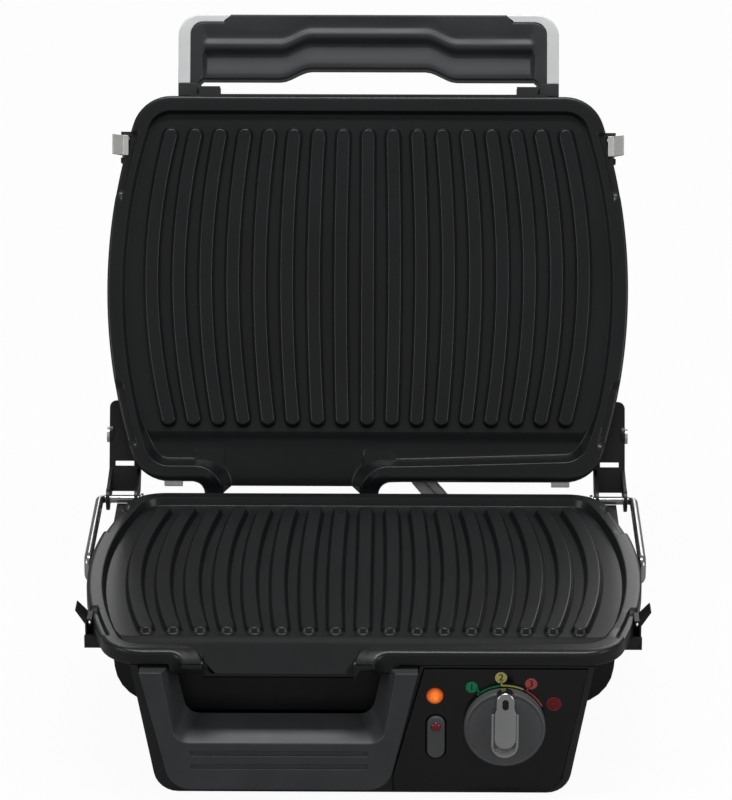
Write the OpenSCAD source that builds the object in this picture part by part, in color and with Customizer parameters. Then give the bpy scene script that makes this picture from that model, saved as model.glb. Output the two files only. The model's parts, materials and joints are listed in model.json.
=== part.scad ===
/* [Plates] */
// Width of a grill plate at its widest
plate_w = 326; // [300:1:345]
// Length of a grill plate from rear edge to front edge
plate_l = 242; // [230:1:255]
// Radius of the bulged sides of a plate
plate_side_r = 350; // [300:5:450]
// Radius of a plate's corners
plate_corner_r = 25; // [20:1:30]
// Height of the skirt round a plate
plate_skirt = 9; // [8.5:0.5:10]
// Width of the flat flange round the cooking recess
flange_w = 10; // [8:0.5:12]
// Depth of the cooking recess
recess_depth = 4.6; // [4:0.2:5.2]
// Thickness of the cast floor
plate_floor = 2.8; // [2.2:0.2:3.2]
// Number of ribs each side of the straight middle one
rib_pairs = 8; // [6:1:8]
// Distance between two ribs at their ends
rib_pitch = 15.5; // [14.5:0.1:15.8]
// Length of the ribs between the centres of their round ends
rib_l = 178; // [160:1:180]
// Width of a rib at its foot
rib_foot_w = 10.6; // [9:0.2:11]
// Width of a rib at its top
rib_top_w = 7; // [5:0.2:7.6]
// Height of a rib
rib_h = 3.8; // [2.5:0.1:4]
// Outward bow of a rib as a share of its distance from the middle
rib_bow = 0.09; // [0.04:0.01:0.1]
// Middle of the grease spout, to the left of the centre line
spout_x = -47.5; // [-52:0.5:-44]
// Clear width of the grease chute
chute_w = 84; // [70:1:90]
// Width of the lip at each side of the chute
spout_lip_w = 11.5; // [9:0.5:13]
// Drop of the chute's tongue below the rim
spout_drop = 12.8; // [11:0.2:14]

/* [Base] */
// Height of the lower plate's rim above the worktop
rim_h = 92; // [88:1:98]
// Width of the base at the top of its front
front_top_w = 262; // [256:1:268]
// Width of the front just above its lower corners
front_bottom_w = 233; // [226:1:238]
// Ground clearance of the front of the base
front_clear = 3.2; // [3:0.1:5]
// Width of the rear body at its top
rear_top_w = 302; // [296:1:306]
// Width of the rear body just above its lower corners
rear_bottom_w = 290; // [280:1:296]
// Ground clearance of the rear body
rear_clear = 13; // [11:0.5:15]
// Wall of the plastic housings
wall = 2.6; // [2:0.2:3]

/* [Drip tray] */
// Middle of the tray, to the left of the centre line
tray_x = -47; // [-49:0.5:-45]
// Width of the tray's front at its top
tray_top_w = 157; // [150:1:159]
// Width of the tray's front just above its lower corners
tray_bottom_w = 123; // [116:1:126]
// Depth of the bowl from front to back
tray_l = 150; // [120:1:160]
// Height of the bowl's rim
tray_bowl_h = 34; // [26:1:38]

/* [Controls] */
// Diameter of the thermostat dial
dial_d = 46; // [40:1:48]
// Thickness of the dial's disc
dial_t = 8; // [6:0.5:9]
// Place of the dial's axis, to the right of the centre line
dial_x = 80.5; // [78:0.5:83]
// Height of the dial's axis
dial_z = 46.5; // [45:0.5:48]
// Length of the pointer grip
grip_l = 43; // [36:1:45]
// Diameter of the round lamp
lamp_d = 10; // [8:0.5:12]
// Width of the switch rocker
rocker_w = 10.2; // [9:0.2:11]
// Length of the switch rocker
rocker_l = 26; // [22:0.5:28]

/* [Hinge] */
// Angle of the open lid from upright
lid_lean = 24; // [22:0.5:26]
// Wire diameter of the hinge links
link_d = 5; // [4:0.5:6]
// Distance between the two pivots of a hinge link
link_l = 97; // [92:1:100]
// Width of a hinge arm
arm_w = 19.5; // [18:0.5:20]
// Sheet thickness of a hinge arm
arm_t = 2; // [1.5:0.1:2.4]
// Radial clearance of pins and shafts in their holes
fit = 0.05; // [0.03:0.01:0.08]

/* [Lid] */
// Depth of the lid shell behind the plate's rim
lid_h = 46; // [44:1:52]
// Overall width of the handle
handle_w = 240; // [230:1:246]
// Reach of the handle beyond the plate's edge
handle_reach = 53.5; // [48:0.5:58]
// Depth of the grip from front to back
handle_d = 27; // [24:1:30]
// Width of a handle leg
leg_w = 13.4; // [12:0.2:15]

/* [Hidden] */
$fn = 48;
corner_steps = 6;
eps = 0.01;
gap = 0.4;

// Places along the depth of the base, measured from the middle of the lower plate
front_y = -118.9;
tray_front_y = front_y - 9;
pointer_y = front_y - gap - dial_t - 8;
step_y = -19;
rear_y = 118;
corner_y = 106;

// Pivot of the arms, and the pivot of the links in the base
arm_pivot = [plate_l/2 + 8.5, rim_h - 8.2];
link_pivot = [arm_pivot[0] - link_l, arm_pivot[1] - 13.5];
link_x = plate_w/2 + 2.6;
arm_x = plate_w/2 - 21;
arm_end = arm_x + arm_w;

// The lid's frame: the upper plate's rear rim edge, found from the closed lid
lid_gap = 1;
lid_forward = 3.3;
closed = [plate_l/2 - lid_forward - arm_pivot[0], lid_gap - arm_pivot[1] + rim_h];
open_angle = 90 + lid_lean;
lid_y = arm_pivot[0] + closed[0]*cos(open_angle) + closed[1]*sin(open_angle);
lid_z = arm_pivot[1] - closed[0]*sin(open_angle) + closed[1]*cos(open_angle);
// Pivot of the arms and of the lid on the arms, seen in the lid's frame as [up the lid, out of it]
arm_pivot_lid = [closed[0], closed[1]];
lid_pivot = [30, -20];

// Handle, along the lid from the plate's rear edge
handle_top = plate_l + handle_reach;
handle_back = -39;
handle_front = handle_back + handle_d;

// Shift that puts the origin under the middle of the part
handle_edge = 5;
rear_most = lid_y + (handle_top - handle_edge)*sin(lid_lean) - handle_back*cos(lid_lean);
origin_y = (pointer_y + rear_most)/2;

// Grill plates
rib_mid_y = 7.2;
bend_y = -plate_l/2 + 22.7;
tongue_y = -plate_l/2 - 2.4;
lip_y = -plate_l/2 - 8;
hook_x = 121;
hook_w = 14;

// Base
deck_z = rim_h - plate_skirt - 7.4;
pan_z = rim_h - plate_skirt - 1.2;
tray_low = 9;
fascia_t = 3;
tray_back = front_y + tray_l;
tray_lip_back = -110;
tray_room_back = -100;
tray_play = 0.8;
hollow_top = 63;
cover_z = front_clear + 0.05;
cover_t = 1.5;
feet_x = front_bottom_w/2 - 28.5;
pocket_inset = 14;
pan_low = 66;
lead_r = 3;
lead_x = 57;
lead_z = 63;
lead_half_gap = 3.4;
gland_x = 84;
gland_z = 38;
screw_x = front_bottom_w/2 - 22;
screw_places = [[screw_x, -66], [-screw_x, 42], [screw_x, 90], [-screw_x, 90]];

// Controls
lamp_at = [41, 63.8];
rocker_at = [41.7, 38.6];
shaft_r = 3;
rocker_pivot = [front_y + fascia_t + 2.6, rocker_at[1]];
lens_r = 2.8;
lens_z = 45.2;

// Heating tubes
element_r = 3.4;
element_z = -recess_depth - plate_floor - element_r - 0.4;

// Clips
clip_w = 12.6;
clip_pin_r = 1;
clip_low_y = -69;
clip_high_y = 89.7;
clip_pin_z = -15;
clip_off = 1.8;
clip_low_x = side_at(clip_low_y) + clip_off;
clip_high_x = side_at(clip_high_y) + clip_off;
clip_low_z = rim_h + clip_pin_z;

// Hinge
link_bend = 3.8;
web_out = -12.5;
arm_low = -6;
arm_high = 51;
ear_r = 7;
ear_base = 15.5;
lid_pin_r = 3;
boss_x = arm_x - 1.2;

// Lid shell and its lead
shell_rim = -plate_skirt - 0.8;
clip_ear_in = 9;
lead_lid_x = 31.5;
lead_lid_out = -21.6;
lead_room = 3.8;

// Grip and trims
handle_u = handle_top - plate_l/2;
grip_low = plate_l/2 + 12.2;
grip_rise = 6.8;
crease_up = 20;
rise_from = 56;
rise_to = 36;
trim_side = 7.7;
trim_top = 4.8;
trim_r = 14;
trim_end = 88;
trim_low = plate_l/2 + 9.9;
seam_out = -27;
grip_half = handle_w/2 - leg_w + 1;
grip_curve = [for (k = [0:6]) rise_from + (rise_to - rise_from)*k/6];
grip_x = concat(
  [-grip_half, -trim_end - eps, -trim_end], [for (x = grip_curve) -x],
  [for (k = [6:-1:0]) grip_curve[k]], [trim_end, trim_end + eps, grip_half]
);

// Course of the lead, measured from the middle of the lower plate
lead_route = [
  [57, 112, 63], [57, 121, 63], [55, 130, 64.5], [51, 140, 68.5], [46, 150, 75],
  [38, 159, 81.5], [33, 164.5, 86], [31.5, 167, 91], [31.5, 169.5, 96.5]
];

// Points of a plate's outline, moved inwards by d: bulged sides, round corners, straight ends
function barrel(d) =
  let (
    w = plate_w/2 - d,
    r = plate_side_r - d,
    c = max(plate_corner_r - d, 3),
    cy = plate_l/2 - d - c,
    cx = sqrt(pow(r - c, 2) - cy*cy) - (r - w),
    a = asin(cy/(r - c)),
    low = [for (i = [0:corner_steps - 1]) let (t = -90 + (90 - a)*i/corner_steps)
      [cx + c*cos(t), -cy + c*sin(t)]],
    side = [for (i = [0:corner_steps]) let (t = -a + 2*a*i/corner_steps) [r*cos(t) - r + w, r*sin(t)]],
    high = [for (i = [1:corner_steps]) let (t = a + (90 - a)*i/corner_steps) [cx + c*cos(t), cy + c*sin(t)]],
    half = concat(low, side, high)
  )
  concat(half, [for (i = [len(half) - 1:-1:0]) [-half[i][0], half[i][1]]]);

// A ring of a plate's outline at height z
function barrel_ring(d, z) = [for (p = barrel(d)) [p[0], p[1], z]];

// Profile with straight sloping sides and round lower corners: half widths at z0 and z1
function trough(half_low, half_high, z0, z1, r) =
  let (
    slope = atan2(z1 - z0, half_high - half_low),
    cx = half_low - r/tan((180 - slope)/2),
    arc = [for (i = [0:corner_steps]) let (t = -90 + slope*i/corner_steps)
      [cx + r*cos(t), z0 + r + r*sin(t)]],
    half = concat(arc, [[half_high, z1]])
  )
  concat(half, [for (i = [len(half) - 1:-1:0]) [-half[i][0], half[i][1]]]);

// Closed surface through a stack of rings with equal numbers of points
module skin(rings) {
  n = len(rings[0]);
  m = len(rings);
  polyhedron(
    points = [for (ring = rings) each ring],
    faces = concat(
      [[for (i = [0:n - 1]) i]],
      [[for (i = [n - 1:-1:0]) (m - 1)*n + i]],
      [for (k = [0:m - 2], i = [0:n - 1]) [k*n + i, (k + 1)*n + i, (k + 1)*n + (i + 1)%n]],
      [for (k = [0:m - 2], i = [0:n - 1]) [k*n + i, (k + 1)*n + (i + 1)%n, k*n + (i + 1)%n]]
    )
  );
}

// Stands children drawn in X and Z up and runs them from y0 to y1
module along_y(y0, y1) {
  translate([0, y1, 0]) rotate([90, 0, 0]) linear_extrude(y1 - y0) children();
}

// Rod along X from x0 to x1 through [y, z]
module rod_x(x0, x1, at, r) {
  translate([x0, at[0], at[1]]) rotate([0, 90, 0]) cylinder(r = r, h = x1 - x0);
}

// Places children drawn round the plate's middle, rim plane at 0, on the open lid
module on_lid() {
  translate([0, lid_y, lid_z]) rotate([90 - lid_lean, 0, 0]) translate([0, plate_l/2, 0]) children();
}

// Places children drawn round the lower plate's middle, rim plane at 0
module on_base() {
  translate([0, 0, rim_h]) children();
}

// Puts the whole part in its own frame
module framed() {
  translate([0, -origin_y, 0]) children();
}

// Point of the lid's frame [up, out] as [y, z] round the plate's middle
function lid_point(p) = [p[0] - plate_l/2, p[1]];

// ---------- grill plates ----------

// Ring round rib k at half width hw and height z, with round ends
function rib_ring(k, hw, z) =
  let (
    hl = rib_l/2,
    steps = 6,
    bow = k*rib_pitch*rib_bow,
    mid = [for (i = [0:steps]) let (y = -hl + 2*hl*i/steps) [k*rib_pitch + bow*(1 - pow(y/hl, 2)), y]],
    slope = [for (i = [0:steps]) atan2(2*bow*mid[i][1]/(hl*hl), 1)],
    right = [for (i = [0:steps]) [mid[i][0] + hw*cos(slope[i]), mid[i][1] + hw*sin(slope[i]), z]],
    left = [for (i = [steps:-1:0]) [mid[i][0] - hw*cos(slope[i]), mid[i][1] - hw*sin(slope[i]), z]],
    top = [for (i = [1:3]) let (t = slope[steps] + 45*i)
      [mid[steps][0] + hw*cos(t), mid[steps][1] + hw*sin(t), z]],
    low = [for (i = [1:3]) let (t = 180 + slope[0] + 45*i) [mid[0][0] + hw*cos(t), mid[0][1] + hw*sin(t), z]]
  )
  concat(right, top, left, low);

module rib(k) {
  floor_z = -recess_depth;
  shoulder = 0.8;
  skin([
    rib_ring(k, rib_foot_w/2, floor_z - 0.2),
    rib_ring(k, rib_top_w/2 + shoulder/2, floor_z + rib_h - shoulder),
    rib_ring(k, rib_top_w/2 - shoulder/2, floor_z + rib_h)
  ]);
}

// Middle of the ribs: their front ends stand back from the spout

// Thin slice of the space over the chute at y, widening upwards
module chute_slice(y, z) {
  slope_w = 4;
  translate([spout_x, y, z]) rotate([90, 0, 0]) linear_extrude(eps)
    polygon([[-chute_w/2, 0], [chute_w/2, 0], [chute_w/2 + slope_w, 1 - z], [-chute_w/2 - slope_w, 1 - z]]);
}

module chute_cut() {
  slope = (spout_drop - recess_depth)/(bend_y - tongue_y);
  far = lip_y - 4;
  hull() {
    chute_slice(-plate_l/2 + flange_w + 16, -recess_depth);
    chute_slice(bend_y, -recess_depth);
  }
  hull() {
    chute_slice(bend_y, -recess_depth);
    chute_slice(far, -recess_depth - slope*(bend_y - far));
  }
}

// Lip at one side of the chute: the rim runs on forwards and down
module spout_lip(side) {
  w = spout_lip_w - 1;
  x = spout_x + side*(chute_w/2 + w/2 - 1) - w/2;
  tip_r = 1.2;
  hull() {
    translate([x, -plate_l/2 + 4, -plate_skirt]) cube([w, flange_w + 8, plate_skirt - 0.1]);
    translate([x, -plate_l/2 + 1.5, -1.6]) rotate([0, 90, 0]) cylinder(r = 1.5, h = w, $fn = 24);
    translate([x, lip_y + tip_r, -6.8]) rotate([0, 90, 0]) cylinder(r = tip_r, h = w, $fn = 24);
    translate([x, tongue_y + 5, -spout_drop - 0.6]) rotate([0, 90, 0]) cylinder(r = tip_r, h = w, $fn = 24);
  }
}

module spout_body() {
  t = 2.4;
  back = bend_y - 2;
  spout_lip(-1);
  spout_lip(1);
  translate([spout_x + chute_w/2, 0, 0]) rotate([0, -90, 0]) linear_extrude(chute_w)
    polygon([
      [-recess_depth - 1, back], [0.4 - recess_depth, bend_y], [0.4 - spout_drop, tongue_y],
      [-spout_drop - t, tongue_y + 0.6], [-plate_skirt - 1, bend_y - 6], [-plate_skirt, back]
    ]);
}

// Pocket in the skirt for a hook, with round ends
module hook_pocket(x, side) {
  r = 2;
  hull() for (s = [-1, 1]) {
    translate([x + s*(hook_w/2 - r), side*(plate_l/2 + 2), -plate_skirt]) rotate([90, 0, 0])
      translate([0, 0, side > 0 ? 0 : -6]) cylinder(r = 5, h = 6, $fn = 24);
  }
}

// Step in the rim at the side of a plate that a clip hooks over
module side_notches() {
  notch_from = 24;
  notch_l = 38;
  notch_in = 3;
  notch_z = -2.2;
  intersection() {
    difference() {
      translate([0, 0, notch_z]) linear_extrude(3) polygon(barrel(-2));
      translate([0, 0, notch_z - 1]) linear_extrude(5) polygon(barrel(notch_in));
    }
    for (s = [-1, 1]) {
      translate([-plate_w, s > 0 ? plate_l/2 - notch_from - notch_l : notch_from - plate_l/2, notch_z - 1])
        cube([2*plate_w, notch_l, 6]);
    }
  }
}

module grill_plate() {
  floor_z = -recess_depth;
  under = floor_z - plate_floor;
  difference() {
    union() {
      difference() {
        skin([
          barrel_ring(0.6, -plate_skirt), barrel_ring(0, -plate_skirt + 1),
          barrel_ring(0, -1.6), barrel_ring(0.5, -0.5), barrel_ring(1.6, 0)
        ]);
        skin([
          barrel_ring(flange_w + 4.4, floor_z), barrel_ring(flange_w + 3.6, floor_z + 0.5),
          barrel_ring(flange_w + 0.6, -0.4), barrel_ring(flange_w - 0.4, eps)
        ]);
        // hollow behind the flange and below the floor
        difference() {
          skin([barrel_ring(2.8, -plate_skirt - eps), barrel_ring(3.4, -3.2)]);
          skin([barrel_ring(flange_w + 3, -plate_skirt - 1), barrel_ring(flange_w - 2.6, -3.2 + eps)]);
        }
        skin([barrel_ring(flange_w + 6, -plate_skirt - eps), barrel_ring(flange_w + 6, under)]);
      }
      spout_body();
      translate([0, rib_mid_y, 0]) for (k = [-rib_pairs:rib_pairs]) rib(k);
    }
    chute_cut();
    side_notches();
    for (sx = [-1, 1], sy = [-1, 1]) hook_pocket(sx*hook_x, sy);
  }
}

module plate_lower() {
  framed() color("#26282a") on_base() grill_plate();
}

module plate_upper() {
  framed() color("#26282a") on_lid() grill_plate();
}

// ---------- base ----------

module housing_forms() {
  along_y(front_y + 1, 100) polygon(trough(front_bottom_w/2, front_top_w/2, front_clear, pan_z, 14));
  along_y(step_y, corner_y) polygon(trough(rear_bottom_w/2, rear_top_w/2, rear_clear, deck_z, 26));
  along_y(step_y, rear_y) polygon(trough(rear_bottom_w/2 - 12, arm_x - 5, rear_clear, deck_z, 20));
  translate([0, 0, rim_h]) skin([barrel_ring(22, pan_z - 12 - rim_h), barrel_ring(9, pan_z - rim_h - 3),
    barrel_ring(9, pan_z - rim_h)]);
}

// Hollow of the base, open below inside the front body and closed under the rear wings
module housing_hollow() {
  open_w = front_bottom_w/2 - 14;
  low_w = front_bottom_w/2 - wall + 2;
  high_w = low_w + (front_top_w - front_bottom_w)/2*(hollow_top - 16)/(pan_z - front_clear);
  along_y(front_y + 1.4 + wall, 100 - wall) polygon([
    [-open_w, -1], [open_w, -1], [open_w, 6], [low_w, 16], [high_w, hollow_top],
    [-high_w, hollow_top], [-low_w, 16], [-open_w, 6]
  ]);
  along_y(step_y + wall, corner_y - wall)
    polygon(trough(rear_bottom_w/2 - wall, rear_top_w/2 - 2*wall, rear_clear + wall, hollow_top, 26 - wall));
  along_y(step_y + wall, rear_y - wall)
    polygon(trough(rear_bottom_w/2 - 12 - wall, arm_x - 5 - wall, rear_clear + wall, hollow_top, 20 - wall));
}

// Posts that the bottom cover is screwed to
module cover_posts() {
  for (p = screw_places) translate([p[0], p[1], cover_z + cover_t + 0.05])
    cylinder(r = 4, h = hollow_top - cover_z - cover_t + 1);
}

// Space that the tray slides in, open to the front, grown by d
module tray_space(d) {
  lean = (tray_top_w - tray_bottom_w)/2/(pan_z - 0.6 - tray_low);
  half = tray_bottom_w/2 + d;
  translate([tray_x, 0, 0]) {
    along_y(front_y - 1, tray_room_back + d) polygon(
      trough(half, half + lean*(rim_h - tray_low + d), tray_low - d, rim_h, 14));
    along_y(tray_lip_back, tray_back + 3 + d) polygon(
      trough(half, half + 7, tray_low - d, tray_low + tray_bowl_h + 2 + d, 14));
  }
}

// Room under the grease chute, measured from the plate's rim plane
module chute_room() {
  w = chute_w + 2*spout_lip_w + 3;
  translate([spout_x - w/2, -plate_l/2 - 14, -spout_drop - 4]) cube([w, 37, 24]);
}

// Openings in the front for the thermostat and the switch, and for the lamp
module bays() {
  translate([dial_x - 48.5, front_y - 1, 12]) cube([82, 22, 52]);
  on_front(lamp_at, front_y + 12) cylinder(r = lamp_d/2 + 2.4, h = 14);
}

module lead_holes(r) {
  for (s = [-1, 1]) translate([lead_x + s*lead_half_gap, rear_y - 14, lead_z])
    rotate([-90, 0, 0]) cylinder(r = r, h = 20);
}

module base_housing() {
  framed() color("#1a1b1d") difference() {
    union() {
      difference() {
        housing_forms();
        housing_hollow();
      }
      intersection() {
        housing_forms();
        tray_space(2.4);
      }
      cover_posts();
      // stops under the links' rear rods
      for (s = [-1, 1]) translate([s*(arm_x + 9) - 4, corner_y - 8, deck_z - 12])
        cube([8, arm_pivot[0] - corner_y + 8, arm_pivot[1] - link_d/2 - gap - deck_z + 12]);
      // sockets of the links' front rods
      for (s = [0, 1]) mirror([s, 0, 0]) rod_x(arm_x - 12, rear_top_w/2 - 1.5, link_pivot, 6);
      // ears for the clips' pins
      for (s = [0, 1], e = [-1, 1]) mirror([s, 0, 0])
        translate([clip_low_x - 13, clip_low_y + e*(clip_w/2 + 1.9) - 1.5, pan_z - 7]) cube([15.6, 3, 7]);
    }
    tray_space(tray_play);
    bays();
    along_y(front_y, front_y + fascia_t + 0.2) fascia_outline(-0.3);
    on_base() chute_room();
    translate([0, 0, rim_h])
      skin([barrel_ring(pocket_inset + 26, pan_low - rim_h), barrel_ring(pocket_inset, pan_z + 1 - rim_h)]);
    for (s = [-1, 1]) {
      mirror([s > 0 ? 0 : 1, 0, 0]) rod_x(arm_x - 8, rear_top_w/2 + 10, link_pivot, link_d/2 + fit);
      translate([s*clip_low_x, clip_low_y + 11, clip_low_z]) rotate([90, 0, 0])
        cylinder(r = clip_pin_r + fit, h = 22);
    }
    lead_holes(lead_r + 1.6);
    translate([gland_x, rear_y - 20, gland_z]) rotate([-90, 0, 0]) cylinder(r = 8, h = 24);
    for (p = screw_places) translate([p[0], p[1], 0]) cylinder(r = 1.5, h = 16);
  }
}

// Cover that closes the base from below, inside the rim of the front body
module bottom_cover() {
  half = front_bottom_w/2 - 14.4;
  y0 = front_y + 1.8 + wall;
  framed() color("#2b2c2e") difference() {
    translate([-half, y0, cover_z]) cube([2*half, 99.6 - wall - y0, cover_t]);
    for (p = screw_places) translate([p[0], p[1], 0]) cylinder(r = 1.7, h = 20);
    for (k = [0:8]) translate([-52 + 13*k, 40, 0]) cube([5, 34, 20]);
  }
}

module base_screws() {
  framed() color("silver") for (p = screw_places) translate([p[0], p[1], cover_z]) {
    translate([0, 0, -1.3]) cylinder(r = 2.8, h = 1.25);
    translate([0, 0, -0.1]) cylinder(r = 1.4, h = 9);
  }
}

// Outline of the control fascia, grown by d
module fascia_outline(d) {
  intersection() {
    polygon(trough(
      front_bottom_w/2 - 5 - d, front_top_w/2 - 4 - d, front_clear + 0.6 + d, pan_z - 1.4 - d, 14
    ));
    polygon([[17.6 + d, 0], [17.6 + d, 15.5], [35.2 + d, pan_z], [front_top_w, pan_z], [front_top_w, 0]]);
  }
}

// Stadium outline, upright
module upright_slot(w, l) {
  for (s = [-1, 1]) translate([0, s*(l - w)/2]) circle(r = w/2);
  square([w, l - w], center = true);
}

module control_fascia() {
  framed() color("#151617") difference() {
    along_y(front_y, front_y + fascia_t) difference() {
      fascia_outline(0);
      translate(rocker_at) upright_slot(rocker_w + 1.2, rocker_l + 1.6);
    }
    translate([lamp_at[0], front_y - 1, lamp_at[1]]) rotate([-90, 0, 0]) cylinder(r = lamp_d/2, h = 6);
    translate([dial_x, front_y - 1, dial_z]) rotate([-90, 0, 0]) cylinder(r = 5, h = 6);
  }
}

// Places children drawn with Z pointing out of the front, at [x, z]
module on_front(at, y) {
  translate([at[0], y, at[1]]) rotate([90, 0, 0]) children();
}

module lamp_lens() {
  framed() color("orange") on_front(lamp_at, front_y + fascia_t + 4) {
    cylinder(r = lamp_d/2 - 0.1, h = fascia_t + 4.4);
    translate([0, 0, -2]) cylinder(r = lamp_d/2 + 1.5, h = 5.9);
  }
}

module thermostat() {
  y0 = front_y + fascia_t + 0.1;
  framed() color("tan") difference() {
    union() {
      translate([dial_x - 16, y0 + 5, dial_z - 14]) cube([32, 24, 28]);
      on_front([dial_x, dial_z], y0 + 6) cylinder(r = 6.5, h = 6);
    }
    on_front([dial_x, dial_z], y0 + 24) cylinder(r = shaft_r + fit, h = 40);
  }
}

module switch_body() {
  y0 = front_y + fascia_t + 0.3;
  depth = 22;
  framed() color("#303234") difference() {
    translate([rocker_at[0] - 8.5, y0, rocker_at[1] - 17]) cube([17, depth, 34]);
    translate([rocker_at[0] - rocker_w/2 - 0.5, y0 - 1, rocker_at[1] - 14.6]) cube([rocker_w + 1, 10, 29.2]);
    rod_x(rocker_at[0] - 8, rocker_at[0] + 8, rocker_pivot, 1.2 + fit);
  }
}

module rocker() {
  framed() color("#1d1e20") difference() {
    union() {
      along_y(front_y - 1.6, front_y + fascia_t + 2) translate(rocker_at) upright_slot(rocker_w, rocker_l);
      rod_x(rocker_at[0] - 7.6, rocker_at[0] + 7.6, rocker_pivot, 1.2);
      rod_x(rocker_at[0] - rocker_w/2 + 0.4, rocker_at[0] + rocker_w/2 - 0.4, rocker_pivot, 2.4);
    }
    on_front([rocker_at[0], lens_z], front_y + 1) cylinder(r = lens_r, h = 6);
  }
}

module rocker_lens() {
  framed() color("darkred") on_front([rocker_at[0], lens_z], front_y + 0.9) {
    cylinder(r = lens_r - 0.1, h = 2.6);
    intersection() {
      translate([0, 0, 0.4]) sphere(r = lens_r);
      cylinder(r = lens_r - 0.1, h = 4);
    }
  }
}

module dial() {
  r = dial_d/2;
  framed() color("#3a3b3d") on_front([dial_x, dial_z], front_y - gap) difference() {
    rotate_extrude() polygon([
      [0, 0], [r, 0], [r, dial_t - 2.4], [r - 0.5, dial_t - 1], [r - 1.6, dial_t - 0.2],
      [r - 3, dial_t], [0, dial_t]
    ]);
    translate([0, 0, -1]) cylinder(r = shaft_r, h = dial_t - 2);
  }
}

module dial_shaft() {
  framed() color("silver") on_front([dial_x, dial_z], front_y + 22)
    cylinder(r = shaft_r, h = 22 + dial_t - 4);
}

// The pointer's grip: a bar with sloped flanks, its lower end ramped
module dial_pointer() {
  top = 26.5;
  w = 14.6;
  h = 8;
  framed() color("silver") on_front([dial_x, dial_z], front_y - gap - dial_t) hull() {
    translate([0, top - w/2, 0]) cylinder(r1 = w/2, r2 = w/2 - 1, h = h - 1, $fn = 32);
    translate([0, top - w/2, h - 1]) cylinder(r1 = w/2 - 1, r2 = w/2 - 2, h = 1, $fn = 32);
    translate([0, top - grip_l + w/2, 0]) cylinder(r1 = w/2, r2 = w/2 - 0.6, h = 2, $fn = 32);
    translate([0, top - grip_l + w/2 + 8, h - 1]) cylinder(r1 = w/2 - 1, r2 = w/2 - 2, h = 1, $fn = 32);
  }
}

module terminal_block() {
  framed() color("ivory") difference() {
    translate([gland_x - 22, 70, hollow_top - 14]) cube([44, 16, 13.8]);
    for (k = [-1:1]) translate([gland_x + 14*k, 78, hollow_top - 20]) cylinder(r = 2.5, h = 12);
  }
}

module cord_gland() {
  framed() color("#141415") translate([gland_x, rear_y, gland_z]) rotate([-90, 0, 0]) difference() {
    union() {
      translate([0, 0, -10]) cylinder(r = 7.9, h = 10.4);
      translate([0, 0, 0.1]) cylinder(r = 10.5, h = 3);
      translate([0, 0, 3]) cylinder(r = 6.5, h = 7);
    }
    translate([0, 0, -11]) cylinder(r = 3.6, h = 30);
  }
}

// Foot: a rubber pad with a chamfered rim and a plug in the housing
module foot(r, h) {
  rotate_extrude() polygon([[0, 0], [r - 0.8, 0], [r, 0.8], [r, h], [0, h]]);
}

module feet_front() {
  framed() color("#6c6e70") for (x = [-1, 0.12, 1]) translate([x*feet_x, front_y + 16, 0])
    foot(7, front_clear - 0.05);
}

module feet_rear() {
  framed() color("#6c6e70") for (s = [-1, 1]) translate([s*(feet_x - 4), 74, 0]) foot(7, front_clear - 0.05);
}

// ---------- heating ----------

// Reflector dish that follows the plate's outline
module dish(low_inset, high_inset, depth) {
  t = 0.8;
  difference() {
    skin([barrel_ring(low_inset, -depth), barrel_ring(high_inset, 0)]);
    skin([barrel_ring(low_inset + t, t - depth), barrel_ring(high_inset + t, eps)]);
  }
}

module heat_shield_lower() {
  framed() color("lightgray") translate([0, 0, pan_z - 0.5])
    dish(pocket_inset + 32, pocket_inset + 4.5, 12.6);
}

module heat_shield_upper() {
  framed() color("lightgray") on_lid() translate([0, 0, -16]) dish(pocket_inset + 16, pocket_inset + 9.5, 8);
}

// Looped heating tube round the origin, its two ends standing off at the back right
module element(w, l) {
  bend = 32;
  for (sx = [-1, 1], sy = [-1, 1]) translate([sx*(w/2 - bend), sy*(l/2 - bend), 0])
    rotate([0, 0, sx > 0 ? (sy > 0 ? 0 : -90) : (sy > 0 ? 90 : 180)])
      rotate_extrude(angle = 90) translate([bend, 0]) circle(r = element_r);
  for (s = [-1, 1]) {
    translate([s*w/2, l/2 - bend, 0]) rotate([90, 0, 0]) cylinder(r = element_r, h = l - 2*bend);
    translate([bend - w/2, s*l/2, 0]) rotate([0, 90, 0]) cylinder(r = element_r, h = w - 2*bend);
  }
}

module element_lower() {
  framed() color("dimgray") on_base() translate([0, 0, element_z]) element(plate_w - 116, plate_l - 102);
}

module element_upper() {
  framed() color("dimgray") on_lid() translate([0, 0, element_z]) element(plate_w - 116, plate_l - 102);
}

// ---------- hooks and clips ----------

// Steel hook over the edge of a plate at y' = side*plate_l/2
module plate_hook(x, side, foot_z, foot_in) {
  edge = plate_l/2 + 1.2;
  t = 1.5;
  translate([x + 5.5, 0, 0]) rotate([0, -90, 0]) linear_extrude(11) polygon([
    for (p = [
      [foot_z, edge - foot_in], [foot_z, edge + t], [-4.6, edge + t], [-4.6, edge - 2.2],
      [-6.1, edge - 2.2], [-6.1, edge], [foot_z + t, edge], [foot_z + t, edge - foot_in]
    ]) [p[0], side*p[1]]
  ]);
}

module plate_hooks_lower() {
  framed() color("silver") on_base() for (s = [-1, 1]) plate_hook(s*hook_x, 1, deck_z - rim_h + 0.1, 6);
}

module plate_hooks_upper() {
  framed() color("silver") on_lid() for (s = [-1, 1]) plate_hook(s*hook_x, -1, -16, 3.2);
}

function side_at(y) = sqrt(pow(plate_side_r, 2) - y*y) - plate_side_r + plate_w/2;

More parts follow.
